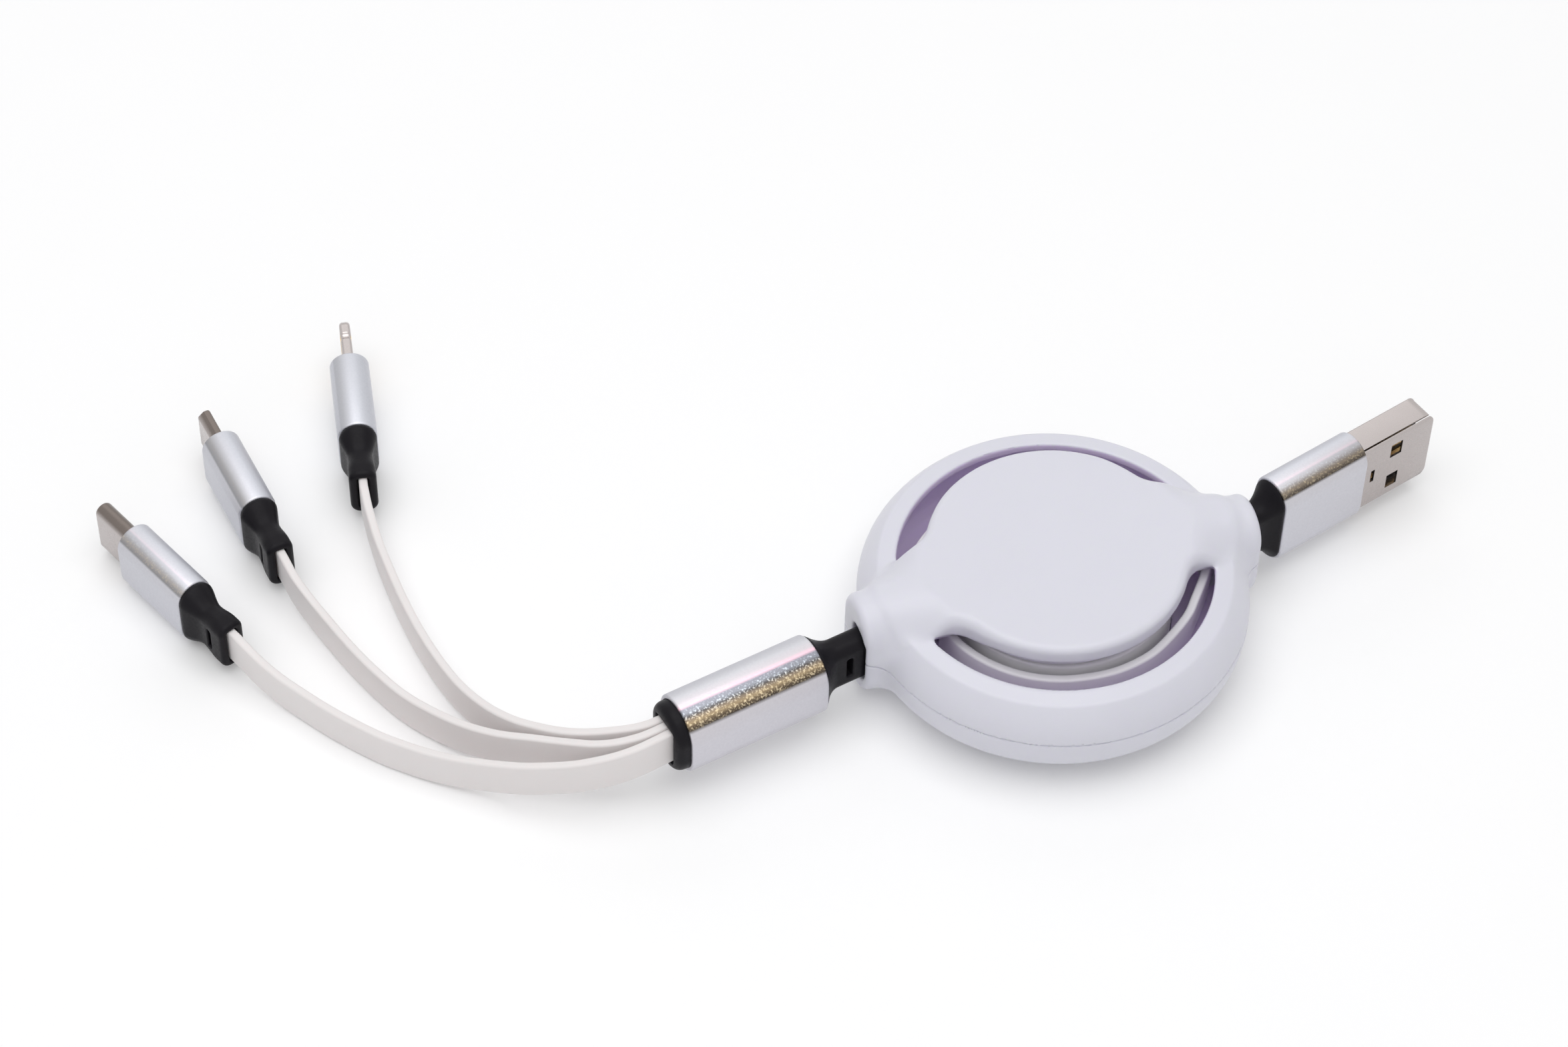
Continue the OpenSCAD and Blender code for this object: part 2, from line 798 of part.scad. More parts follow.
// Splitter
splitter_front = splitter_sleeve_back + splitter_len;
splitter_end = splitter_front + cap_len;

module splitter_boot() {
    color("dimgray") at_splitter() {
        reel_boot(
            splitter_collar_back, splitter_flare, splitter_sleeve_back, splitter_w, splitter_h
        );
    }
}
module splitter_sleeve() {
    color("lightsteelblue") at_splitter() {
        sleeve(splitter_sleeve_back, splitter_front, splitter_w, splitter_h);
    }
}
module splitter_core() {
    color("dimgray") at_splitter() {
        along_x(splitter_sleeve_back, splitter_front - 2) core_2d(splitter_w, splitter_h);
    }
}
module splitter_cap() {
    w = splitter_w - 2 * (sleeve_wall + cap_gap);
    h = splitter_h - 2 * (sleeve_wall + cap_gap);
    color("dimgray") at_splitter() {
        loft([
            section(splitter_front - 2, w, h, w * 0.49),
            section(splitter_front, w, h, w * 0.49),
            for (k = [1:4])
                let (t = k / 4, inset = 1.1 * (1 - sqrt(1 - 0.98 * t * t)))
                section(splitter_front + cap_len * t, w - 2 * inset, h - 2 * inset,
                    w * 0.49 - inset)
        ]);
    }
}

// Small boots: an oval behind the sleeve, a waist and a rounded collar at the cord
function waist(t) = smooth(min(1, t / 0.45));
function swell(t) = smooth(min(1, max(0, (t - 0.45) / 0.35)));
function boot_w(t) = small_w - 1.9 * waist(t) + 0.35 * swell(t);
function boot_h(t) = small_h - 2.6 * waist(t) + 0.1 * swell(t);
function boot_r(t) = small_w * 0.49 - 1.2 * waist(t);

module small_boot_solid() {
    difference() {
        loft([
            for (t = [1, 0.96, for (k = [8:-1:0]) k / 9])
                let (end = t == 1 ? 0.3 : 0)
                section(
                    -small_len - small_boot * t,
                    boot_w(t) - 2 * end, boot_h(t) - 2 * end, boot_r(t) - end
                )
        ]);
        translate([-small_len - 0.64 * small_boot, 0, 0]) {
            cube([boot_slot[0], small_w, boot_slot[1]], center = true);
        }
    }
}

module small_core(shell_w, shell_h, shell_r) {
    difference() {
        along_x(-small_len, -0.2) core_2d(small_w, small_h);
        along_x(-small_root, 1) rounded_2d(shell_w, shell_h, shell_r);
    }
}

// Cord: a flat section on edge, swept along its points
function cord_ring(p, u) = [
    for (c = [[-1, -0.8], [-0.6, -1], [0.6, -1], [1, -0.8], [1, 0.8], [0.6, 1], [-0.6, 1], [-1, 0.8]])
        [p[0] - u[1] * c[0] * cable_t / 2, p[1] + u[0] * c[0] * cable_t / 2, p[2] + c[1] * cable_half]
];
function flat(p) = [p[0], p[1]];
function cord_start(row) = let (
    u = polar(1, 180 + splitter_yaw),
    p = splitter_pivot + splitter_end * u + row * cord_pitch * [u[1], -u[0]]
) [p[0], p[1], seam_z];
function cord_end(place) =
    let (p = flat(place) - polar(small_len + small_boot, place[2])) [p[0], p[1], small_z];

module cord(row, route, place) {
    points = concat([cord_start(row)], route, [cord_end(place)]);
    last = len(points) - 1;
    level = [for (p = points) flat(p)];
    loft([
        for (i = [0:last])
            cord_ring(
                points[i],
                i == 0 ? polar(1, 180 + splitter_yaw)
                    : i == last ? polar(1, place[2]) : heading(level, i)
            )
    ]);
}

// USB-C plug
module usb_c_cord() {
    color("white") cord(-1, usb_c_route, usb_c_place);
}
module usb_c_boot() {
    color("dimgray") at_place(usb_c_place) small_boot_solid();
}
module usb_c_sleeve() {
    color("lightsteelblue") at_place(usb_c_place) sleeve(-small_len, 0, small_w, small_h);
}
module usb_c_core() {
    color("white") at_place(usb_c_place) {
        small_core(usb_c_size[0], usb_c_size[1], usb_c_size[0] / 2 - eps);
    }
}
module usb_c_shell() {
    color("silver") at_place(usb_c_place) along_x(-small_root, usb_c_reach) difference() {
        stadium_2d(usb_c_size[0], usb_c_size[1]);
        stadium_2d(usb_c_size[0] - 2 * usb_c_wall, usb_c_size[1] - 2 * usb_c_wall);
    }
}
module usb_c_insert() {
    gap = 2 * (usb_c_wall + core_gap);
    color("dimgray") at_place(usb_c_place) difference() {
        along_x(-small_root, usb_c_reach - 0.3) {
            stadium_2d(usb_c_size[0] - gap, usb_c_size[1] - gap);
        }
        along_x(0.8, usb_c_reach) square([usb_c_slot[0], usb_c_slot[1]], center = true);
    }
}
module usb_c_contacts() {
    color("gold") at_place(usb_c_place) {
        for (row = [-1, 1], k = [-5.5:5.5]) {
            translate([2.6, row * (usb_c_slot[0] / 2 - 0.05), k * 0.5]) {
                cube([3, 0.1, 0.28], center = true);
            }
        }
    }
}

// Micro plug
module micro_outline(inset) {
    w = micro_size[0] / 2 - inset;
    h = micro_size[1] / 2 - inset;
    polygon([
        [-w, -h], [0, -h], [w, -h + 0.75], [w, h - 0.75], [0, h], [-w, h]
    ]);
}
module micro_cord() {
    color("white") cord(0, micro_route, micro_place);
}
module micro_boot() {
    color("dimgray") at_place(micro_place) small_boot_solid();
}
module micro_sleeve() {
    color("lightsteelblue") at_place(micro_place) sleeve(-small_len, 0, small_w, small_h);
}
module micro_core() {
    color("white") at_place(micro_place) difference() {
        along_x(-small_len, -0.2) core_2d(small_w, small_h);
        along_x(-small_root, 1) micro_outline(0);
    }
}
module micro_shell() {
    color("silver") at_place(micro_place) difference() {
        along_x(-small_root, micro_reach) difference() {
            micro_outline(0);
            micro_outline(micro_wall);
        }
    }
}
module micro_insert() {
    color("dimgray") at_place(micro_place) {
        along_x(-small_root, 1) micro_outline(micro_wall + core_gap);
        translate([0, micro_tongue_y, -micro_tongue[1] / 2]) {
            cube([micro_reach - 0.6, micro_tongue[0], micro_tongue[1]]);
        }
    }
}
module micro_contacts() {
    color("gold") at_place(micro_place) {
        for (k = [-2:2]) {
            translate([1.2, micro_tongue_y + micro_tongue[0], k * 0.65 - 0.2]) {
                cube([micro_reach - 2.4, 0.1, 0.4]);
            }
        }
    }
}

// Eight-pin plug
module eight_pin_cord() {
    color("white") cord(1, eight_pin_route, eight_pin_place);
}
module eight_pin_boot() {
    color("dimgray") at_place(eight_pin_place) small_boot_solid();
}
module eight_pin_sleeve() {
    color("lightsteelblue") at_place(eight_pin_place) sleeve(-small_len, 0, small_w, small_h);
}
module eight_pin_core() {
    color("white") at_place(eight_pin_place) {
        small_core(tab_size[0] + 2 * core_gap, tab_size[1] + 2 * core_gap, core_gap);
    }
}
module tab_2d() {
    difference() {
        union() {
            translate([-small_root, -tab_size[1] / 2]) {
                square([small_root + eight_pin_reach - tab_round, tab_size[1]]);
            }
            translate([0, tab_round - tab_size[1] / 2]) {
                square([eight_pin_reach, tab_size[1] - 2 * tab_round]);
            }
            for (side = [-1, 1]) {
                translate([eight_pin_reach - tab_round, side * (tab_size[1] / 2 - tab_round)]) {
                    circle(r = tab_round);
                }
            }
        }
        for (side = [-1, 1]) {
            translate([eight_pin_reach - 3.4, side * (tab_size[1] / 2 + 0.25)]) circle(r = 0.6);
        }
    }
}
module eight_pin_tab() {
    color("white") at_place(eight_pin_place) difference() {
        rotate([90, 0, 0]) translate([0, 0, -tab_size[0] / 2]) linear_extrude(tab_size[0]) tab_2d();
        for (side = [-1, 1]) {
            translate([contact_x, side * tab_size[0] / 2, 0]) {
                cube([contact_len + 0.3, 0.2, 8 * contact_pitch], center = true);
            }
        }
    }
}
module eight_pin_contacts() {
    color("gold") at_place(eight_pin_place) {
        for (side = [-1, 1], k = [-3.5:3.5]) {
            translate([contact_x, side * (tab_size[0] / 2 - 0.05), k * contact_pitch]) {
                cube([contact_len, 0.1, contact_pitch - 0.25], center = true);
            }
        }
    }
}

upper_shell();
lower_shell();
spool();
power_spring();
spring_cover();
latch_ball();
wound_cable();
plug_tail();
splitter_tail();
usb_a_boot();
usb_a_sleeve();
usb_a_core();
usb_a_shell();
usb_a_tongue();
usb_a_contacts();
splitter_boot();
splitter_sleeve();
splitter_core();
splitter_cap();
usb_c_cord();
usb_c_boot();
usb_c_sleeve();
usb_c_core();
usb_c_shell();
usb_c_insert();
usb_c_contacts();
micro_cord();
micro_boot();
micro_sleeve();
micro_core();
micro_shell();
micro_insert();
micro_contacts();
eight_pin_cord();
eight_pin_boot();
eight_pin_sleeve();
eight_pin_core();
eight_pin_tab();
eight_pin_contacts();
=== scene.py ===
"""Looks of a retractable three-in-one USB cable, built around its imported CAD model."""

import json
import math

import bpy
import numpy as np
from mathutils import Matrix

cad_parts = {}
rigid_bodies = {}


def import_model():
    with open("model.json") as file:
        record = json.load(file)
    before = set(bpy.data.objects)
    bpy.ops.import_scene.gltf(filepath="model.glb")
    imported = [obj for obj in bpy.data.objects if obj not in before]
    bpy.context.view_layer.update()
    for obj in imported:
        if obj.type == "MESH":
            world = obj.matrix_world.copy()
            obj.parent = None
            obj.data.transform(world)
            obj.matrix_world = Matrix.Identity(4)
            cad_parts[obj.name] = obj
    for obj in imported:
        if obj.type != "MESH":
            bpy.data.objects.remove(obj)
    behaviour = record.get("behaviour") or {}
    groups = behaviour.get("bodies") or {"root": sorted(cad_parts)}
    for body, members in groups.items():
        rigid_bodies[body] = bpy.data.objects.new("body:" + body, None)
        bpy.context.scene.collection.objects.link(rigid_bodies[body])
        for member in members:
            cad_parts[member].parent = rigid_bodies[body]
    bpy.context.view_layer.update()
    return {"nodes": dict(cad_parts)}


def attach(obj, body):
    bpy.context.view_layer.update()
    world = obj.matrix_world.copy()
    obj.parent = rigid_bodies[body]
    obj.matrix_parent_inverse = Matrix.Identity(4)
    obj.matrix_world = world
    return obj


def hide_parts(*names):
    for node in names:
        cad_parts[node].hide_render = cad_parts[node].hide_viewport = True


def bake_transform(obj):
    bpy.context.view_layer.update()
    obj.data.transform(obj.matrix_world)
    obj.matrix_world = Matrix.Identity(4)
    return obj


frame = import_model()
MM = 0.001

# Reel, in millimetres; heights are measured from the seam plane
REEL_R = 26.2
HALF_T = 9.05
SEAM_Z = 9.05
WALL = 1.4
DISC_R = 17.5
WINDOW_R = 21.1
RIM_TOP = 5.6
RIM_UNDER = RIM_TOP - WALL
UPPER_RIDGE = (23.6, 5.05)
LOWER_RIDGE = (25.0, 5.2)
CAVITY_R = REEL_R - WALL
SKIRT_LOW = 6.3
RIM_ROUND = 0.3
RIM_FOOT = -3
BRIDGE_HALF = 7.0
BRIDGE_LOW = 5.6
BRIDGE_END = 24.2
TOP_FALL = 2.8
FLOOR_HALF_W = 3.2
NECK_START = 19.0
NECK_FALL = 3.6
NECK_END = 28.2
NECK_HALF = 4.55
NECK_ARC_H = 3.15
NECK_LIP = 1.2
PORT_FROM = 20.8
PORT_HALF_W = 3.6
PORT_HALF_H = 4.3
PORT_ROUND = 1.6
MOUTH_FROM = 27.0
MOUTH_SIDE = 1.5
MOUTH_HALF_W = 2.25
SEAM_GAP = 0.01
SHELL_CELL = 0.3
POST = [
    (0, -7.75), (6.4, -7.75), (6.2, -7.55), (3.2, -7.5), (2.7, -7.3), (2.4, -6.9), (2.4, 7.6),
    (2.1, 7.9), (0, 7.9),
]

# Flat cable
CABLE_W = 5.8
CABLE_T = 1.2
CABLE_ROUND = 0.35
STRAND_PITCH = 2.6
STRAND_R = 15.6
WOUND_TURNS = 3
FOLD_TURNS = 0.5
FOLD_R = 4.3
TURN_STEPS = 60
PLUG_TAIL = [
    (24.2, 0.3), (22.5, -1.0), (20.9, -3.1), (19.5, -5.3), (16.7, -8.8), (14.0, -11.8),
]
SPLITTER_TAIL = [
    (-24.3, -0.8), (-22.4, 0.6), (-20.8, 2.9), (-19.5, 5.3), (-16.7, 8.8), (-14.0, 11.8),
]

# Plugs, each along its own axis from the boot to the tip
PLUG_PIVOT = (23.0, 0.0)
PLUG_YAW = 16.4
SPLITTER_PIVOT = (-19.9, 0.0)
SPLITTER_YAW = 191.2
USB_A = dict(back=2.7, flare=6.3, sleeve=9.7, length=14.4, w=6.35, h=14.5)
SPLITTER = dict(back=6.0, flare=12.3, sleeve=15.43, length=20.4, w=8.9, h=11.7)
COLLAR_W = 3.6
COLLAR_H = 8.0
COLLAR_R = 1.5
BOOT_PLAY = 0.1
REEL_BOOT_PLAY = 0.15
BOOT_CELL = 0.16
SLOT_HALF_H = 1.75
CAP_LEN = 1.8
USB_A_REACH = 12.5
USB_A_SIZE = (4.5, 12)
SMALL_LEN = 13.4
SMALL_W = 5.45
SMALL_H = 10.4
SMALL_BOOT = 9.2
SMALL_BOOT_SEEN = 8.2
SMALL_Z = SMALL_H / 2
SMALL_INSIDE = -4.5
SLEEVE_WALL = 0.5
SLEEVE_BEVEL = 0.3
STEEL_WALL = 0.25
TAB_REACH = 8.4
TAB_HALF_W = 3.35
TAB_HALF_T = 0.75
TAB_POCKET = 0.07
USB_C_SIZE = (2.56, 8.34)
MICRO_CORNERS = [
    (0.9, -2.675), (0.9, 2.675), (0, 3.425), (-0.9, 3.425), (-0.9, -3.425), (0, -3.425),
]
PLACES = {
    "usb_c": (-113.8, 48.26, 113.4),
    "micro": (-98.53, 61.24, 97.9),
    "eight_pin": (-77.88, 69.95, 79.7),
}
# How gold and how strong the painted reflection on each small plug's sleeve is
SMALL_PAINTED_REFLECTION = {"usb_c": (0.3, 0.6), "micro": (0, 0.5), "eight_pin": (0, 0.2)}
CORD_ROWS = {"usb_c": -1, "micro": 0, "eight_pin": 1}
CORD_PITCH = 1.3
CORD_OVERLAP = 0.7
CORD_IN_BOOT = 2.0
ROUTES = {
    "usb_c": [
        (-58.6, -9.0, 8.9), (-60.9, -9.3, 8.6), (-63.5, -9.3, 8.2), (-66.2, -8.9, 7.7),
        (-69.6, -7.9, 6.9), (-74.2, -5.7, 5.7), (-77.3, -3.8, 4.9), (-80.2, -1.7, 4.1),
        (-83.2, 0.5, 3.5), (-86.0, 2.8, 3.1), (-88.8, 5.3, 3.0), (-91.5, 8.0, 2.95),
        (-95.6, 13.0, 2.95), (-99.2, 18.2, 3.0), (-101.2, 21.0, 3.5), (-103.0, 23.8, 4.3),
    ],
    "micro": [
        (-58.6, -7.6, 8.9), (-60.6, -7.7, 8.7), (-63.4, -7.3, 8.3), (-66.0, -6.3, 7.8),
        (-68.5, -4.7, 7.2), (-70.8, -3.0, 6.5), (-72.9, -1.4, 5.9), (-76.6, 1.4, 4.8),
        (-80.0, 4.8, 3.8), (-83.1, 8.6, 3.2), (-86.1, 12.9, 2.95), (-88.6, 17.9, 2.95),
        (-90.7, 23.3, 2.95), (-92.5, 28.8, 3.1), (-93.7, 32.2, 3.6), (-94.8, 35.6, 4.4),
    ],
    "eight_pin": [
        (-58.8, -6.2, 8.9), (-60.8, -6.0, 8.7), (-63.2, -5.3, 8.3), (-66.2, -4.1, 7.7),
        (-69.0, -2.4, 7.0), (-71.8, 0.1, 6.1), (-74.4, 3.0, 5.2), (-76.8, 6.9, 4.3),
        (-78.8, 11.9, 3.4), (-80.2, 17.4, 3.0), (-81.2, 23.0, 2.95), (-81.8, 28.6, 2.95),
        (-82.1, 34.0, 3.0), (-82.3, 38.6, 3.4), (-82.3, 41.8, 4.0), (-82.2, 44.8, 4.6),
    ],
}

# Camera: found from the outlines in the photograph
PHOTO_W, PHOTO_H = 2349, 1568
FOCAL_PX = 6500.0
PITCH_DEG = 49.45
ROLL_DEG = -1.28
CAMERA_DISTANCE = 581.63
REEL_PX = (1574.39, 918.76)
REEL_PX_Z = 4.3
TABLE_TURN_DEG = -20.0


def turn_z(degrees):
    """Matrix of a turn about the upright axis."""
    c, s = math.cos(math.radians(degrees)), math.sin(math.radians(degrees))
    return np.array([[c, -s, 0], [s, c, 0], [0, 0, 1]])


def smooth(t):
    t = np.clip(t, 0, 1)
    return t * t * (3 - 2 * t)


def make_camera():
    """Camera in the reel's frame, turned with the table; the photograph is its whole view."""
    e, roll = math.radians(PITCH_DEG), math.radians(ROLL_DEG)
    forward = np.array([0, math.cos(e), -math.sin(e)])
    level = np.array([1.0, 0, 0])
    down = np.array([0, -math.sin(e), -math.cos(e)])
    right = level * math.cos(roll) + down * math.sin(roll)
    lower = down * math.cos(roll) - level * math.sin(roll)
    off_x = (REEL_PX[0] - PHOTO_W / 2) / FOCAL_PX
    off_y = (REEL_PX[1] - PHOTO_H / 2) / FOCAL_PX
    place = -CAMERA_DISTANCE * (forward + off_x * right + off_y * lower)
    turn = turn_z(TABLE_TURN_DEG)
    place = (turn @ place + [0, 0, REEL_PX_Z]) * MM
    axes = turn @ np.array([right, -lower, -forward]).T
    data = bpy.data.cameras.new("camera")
    data.sensor_width = 36
    data.lens = FOCAL_PX / PHOTO_W * data.sensor_width
    data.clip_start, data.clip_end = 0.01, 50
    camera = bpy.data.objects.new("camera", data)
    bpy.context.scene.collection.objects.link(camera)
    matrix = np.eye(4)
    matrix[:3, :3], matrix[:3, 3] = axes, place
    camera.matrix_world = Matrix(matrix.tolist())
    bpy.context.scene.camera = camera


# Meshes
def add_mesh(name, points, faces, sharp_deg=None):
    """New object from points in millimetres, with smooth shading."""
    mesh = bpy.data.meshes.new(name)
    mesh.from_pydata((np.asarray(points, float) * MM).tolist(), [], [list(f) for f in faces])
    mesh.validate()
    mesh.polygons.foreach_set("use_smooth", [True] * len(mesh.polygons))
    if sharp_deg:
        mesh.set_sharp_from_angle(angle=math.radians(sharp_deg))
    mesh.update()
    piece = bpy.data.objects.new(name, mesh)
    bpy.context.scene.collection.objects.link(piece)
    return piece


def mark(piece, name, values):
    """Stores a number at each point for the materials to read."""
    store = piece.data.attributes.new(name, "FLOAT", "POINT")
    store.data.foreach_set("value", np.asarray(values, float))


def loft_faces(rings, n, caps=True, loop=False):
    """Quads between rings of n points each, with end caps or closed into a loop."""
    faces = []
    for i in range(rings if loop else rings - 1):
        j = (i + 1) % rings
        for k in range(n):
            m = (k + 1) % n
            faces.append((i * n + k, i * n + m, j * n + m, j * n + k))
    if caps and not loop:
        faces += [tuple(range(n - 1, -1, -1)), tuple((rings - 1) * n + k for k in range(n))]
    return faces


def placed(points, pivot, yaw, z):
    """Points in a plug's own frame moved to its place."""
    return np.asarray(points) @ turn_z(yaw).T + [pivot[0], pivot[1], z]


# Solids as distance fields: a field is negative inside the solid
def join(a, b, k):
    h = np.clip(0.5 + 0.5 * (b - a) / k, 0, 1)
    return b * (1 - h) + a * h - k * h * (1 - h)


def common(a, b, k):
    return -join(-a, -b, k)


def cut(a, b, k):
    return common(a, -b, k)


def outline_distance(x, y, outline):
    """Signed distance in the plane to a closed outline."""
    best = np.full(x.shape, 1e9)
    sign = np.ones(x.shape)
    for (ax, ay), (bx, by) in zip(outline, outline[-1:] + outline[:-1]):
        ex, ey, wx, wy = bx - ax, by - ay, x - ax, y - ay
        t = np.clip((wx * ex + wy * ey) / (ex * ex + ey * ey), 0, 1)
        best = np.minimum(best, (wx - ex * t) ** 2 + (wy - ey * t) ** 2)
        above, below, left = y >= ay, y < by, ex * wy > ey * wx
        flip = (above & below & left) | (~above & ~below & ~left)
        sign = np.where(flip, -sign, sign)
    return sign * np.sqrt(best)


def rounded_common(a, b, r):
    """What two fields share, with a corner of radius r where they meet."""
    a, b = a + r, b + r
    return np.hypot(np.maximum(a, 0), np.maximum(b, 0)) + np.minimum(np.maximum(a, b), 0) - r


def rounded_box(u, v, half_u, half_v, r):
    """Signed distance to a rounded rectangle."""
    return rounded_common(np.abs(u) - half_u, np.abs(v) - half_v, r)


def field_mesh(field, low, high, cell):
    """Points and quads of the surface where the field is zero, by surface nets."""
    axes = [np.arange(a - 2 * cell, b + 3 * cell, cell) for a, b in zip(low, high)]
    grid = np.stack(np.meshgrid(*axes, indexing="ij"), -1)
    shape = grid.shape[:3]
    value = field(grid.reshape(-1, 3)).reshape(shape)
    inside = value < 0
    total = np.zeros([n - 1 for n in shape])
    sums = np.zeros(list(total.shape) + [3])
    corners = np.zeros(total.shape, int)
    for dx, dy, dz in np.ndindex(2, 2, 2):
        corners += inside[dx:shape[0] - 1 + dx, dy:shape[1] - 1 + dy, dz:shape[2] - 1 + dz]
    for axis in range(3):
        step = [int(axis == a) for a in range(3)]
        near = tuple(slice(0, shape[a] - step[a]) for a in range(3))
        far = tuple(slice(step[a], shape[a]) for a in range(3))
        crossed = inside[near] != inside[far]
        with np.errstate(divide="ignore", invalid="ignore"):
            t = np.where(crossed, value[near] / (value[near] - value[far]), 0)
        point = grid[near] + t[..., None] * (grid[far] - grid[near])
        others = [a for a in range(3) if a != axis]
        for du, dv in np.ndindex(2, 2):
            pick = [slice(None)] * 3
            pick[others[0]] = slice(du, shape[others[0]] - 1 + du)
            pick[others[1]] = slice(dv, shape[others[1]] - 1 + dv)
            pick = tuple(pick)
            total += crossed[pick]
            sums += np.where(crossed[pick][..., None], point[pick], 0)
    active = (corners > 0) & (corners < 8)
    index = np.full(total.shape, -1)
    index[active] = np.arange(active.sum())
    points = sums[active] / total[active][:, None]
    faces = []
    for axis in range(3):
        others = [(axis + 1) % 3, (axis + 2) % 3]
        near = [slice(1, n - 1) for n in shape]
        far = list(near)
        near[axis], far[axis] = slice(0, shape[axis] - 1), slice(1, shape[axis])
        a, b = inside[tuple(near)], inside[tuple(far)]
        base = [slice(1, n - 1) for n in shape]
        base[axis] = slice(0, shape[axis] - 1)

        def cell_index(du, dv):
            pick = list(base)
            for o, d in zip(others, (du, dv)):
                pick[o] = slice(1 - d, shape[o] - 1 - d)
            return index[tuple(pick)]

        quad = np.stack([cell_index(*d) for d in ((1, 1), (0, 1), (0, 0), (1, 0))], -1)
        faces += [quad[a & ~b], quad[~a & b][:, ::-1]]
    faces = np.concatenate(faces)
    return settle(field, points, cell), faces


def settle(field, points, cell, rounds=3):
    """Moves points onto the surface along the field's slope."""
    step = cell * 0.05
    for _ in range(rounds):
        value = field(points)
        slope = np.stack([
            (field(points + step * unit) - field(points - step * unit)) / (2 * step)
            for unit in np.eye(3)
        ], -1)
        size = np.maximum((slope ** 2).sum(1), 0.2)
        move = -(value / size)[:, None] * slope
        length = np.linalg.norm(move, axis=1, keepdims=True)
        points = points + move * np.minimum(1, 0.5 * cell / np.maximum(length, 1e-9))
    return points


# Housing
def rim_outside(ridge, power):
    """Rounded side up to the ridge, then the nearly flat top to the window."""
    r, h = ridge
    side = [(REEL_R - (REEL_R - r) * t ** power, h * t) for t in np.linspace(0, 1, 9)]
    top = [(r - (r - WINDOW_R) * t, h + (RIM_TOP - h) * t) for t in np.linspace(0.25, 1, 4)]
    return side + top


def rim_inside():
    """Inner face of the rim, from the window down to the seam."""
    return [
        (
            CAVITY_R - (CAVITY_R - WINDOW_R) * t * t,
            RIM_UNDER * (t if t < 0.3 else math.sin(t * math.pi / 2)),
        )
        for t in (0.75, 0.5, 0.25, 0)
    ]


def inset_outline(outline, inset):
    """Outline moved inwards, so that a field can round it back out."""
    points = np.array(outline)
    before, after = np.roll(points, 1, 0), np.roll(points, -1, 0)
    area = np.sum(points[:, 0] * after[:, 1] - after[:, 0] * points[:, 1])
    normal = [
        np.stack([-e[:, 1], e[:, 0]], 1) / np.linalg.norm(e, axis=1)[:, None]
        for e in (points - before, after - points)
    ]
    mean = normal[0] + normal[1]
    mean /= np.maximum((mean * normal[0]).sum(1), 0.3)[:, None]
    return [tuple(p) for p in points + np.sign(area) * inset * mean]


def rim_outline(ridge, power):
    """Section of the rim, which runs on below the seam so that the seam can cut it."""
    return inset_outline(
        [(REEL_R, RIM_FOOT)] + rim_outside(ridge, power) + [(WINDOW_R, RIM_UNDER)] + rim_inside()
        + [(CAVITY_R, RIM_FOOT)],
        RIM_ROUND,
    )


UPPER_RIM = rim_outline(UPPER_RIDGE, 1.8)
LOWER_RIM = rim_outline(LOWER_RIDGE, 3)
CAVITY_OUTLINE = (
    [(-1, RIM_FOOT), (-1, HALF_T - WALL), (DISC_R - WALL, HALF_T - WALL)]
    + [(DISC_R - WALL, RIM_UNDER), (WINDOW_R, RIM_UNDER)] + rim_inside() + [(CAVITY_R, RIM_FOOT)]
)


def upper_top(x, y, r):
    """Height of the upper disc and bridges: sunk beside the windows and level with the necks."""
    sunk = smooth((r - 16.2) / 5) * smooth((x - 11) / 4) * smooth((y - 6.2) / 2.6)
    outward = smooth((r - DISC_R) / 7)
    at_neck = NECK_ARC_H + NECK_HALF - NECK_FALL * smooth((y - 1.5) / 6)
    return (HALF_T - TOP_FALL * sunk) * (1 - outward) + at_neck * outward


def lower_top(r):
    """Height of the lower disc and bridges, which fall evenly to the rim."""
    return HALF_T - smooth((r - DISC_R) / 6.5) * 4


def half_field(points, closed):
    """Half of the housing, standing on the seam plane; the closed one has no windows."""
    x, y, h = np.abs(points[:, 0]), np.abs(points[:, 1]), points[:, 2]
    r = np.hypot(x, y)
    rim = outline_distance(r, h, LOWER_RIM if closed else UPPER_RIM) - RIM_ROUND

    # Disc and bridges
    beside = y - BRIDGE_HALF
    top = lower_top(r) if closed else upper_top(x, y, r)
    low = RIM_UNDER + (BRIDGE_LOW - RIM_UNDER) * smooth((beside + 1.2) / 1.2)
    low = low + (SKIRT_LOW - BRIDGE_LOW) * smooth((beside - 1) / 4)
    plan = join(r - DISC_R, np.maximum(beside, r - BRIDGE_END), 2.4)
    plate = common(common(plan, h - top, 1.1), low - h, 0.4)
    body = join(rim, plate, 0.9)

    # Necks, and the floor that closes the windows
    section = np.hypot(y, np.maximum(h - NECK_ARC_H, 0)) - NECK_HALF
    neck = np.maximum(rounded_common(section, x - NECK_END, NECK_LIP), NECK_START - x)
    body = np.maximum(join(body, neck, 2.6), h - HALF_T)
    if closed:
        middle = (DISC_R - WALL + WINDOW_R + 1) / 2
        floor = rounded_box(r - middle, h - RIM_TOP + WALL / 2, FLOOR_HALF_W, WALL / 2, 0.1)
        body = join(body, floor, 0.5)

    # Cavity, ports and seam
    body = cut(body, outline_distance(r, h, CAVITY_OUTLINE), 0.15)
    port = rounded_box(y, h, PORT_HALF_W, PORT_HALF_H, PORT_ROUND)
    port = np.maximum(port, np.maximum(PORT_FROM - x, x - MOUTH_FROM))
    across = points[:, 1] * np.sign(points[:, 0]) - MOUTH_SIDE
    mouth = rounded_box(across, h, MOUTH_HALF_W, PORT_HALF_H, PORT_ROUND)
    mouth = np.maximum(mouth, PORT_FROM - x)
    body = cut(body, np.minimum(port, mouth), 0.4)
    return np.maximum(body, SEAM_GAP - h)


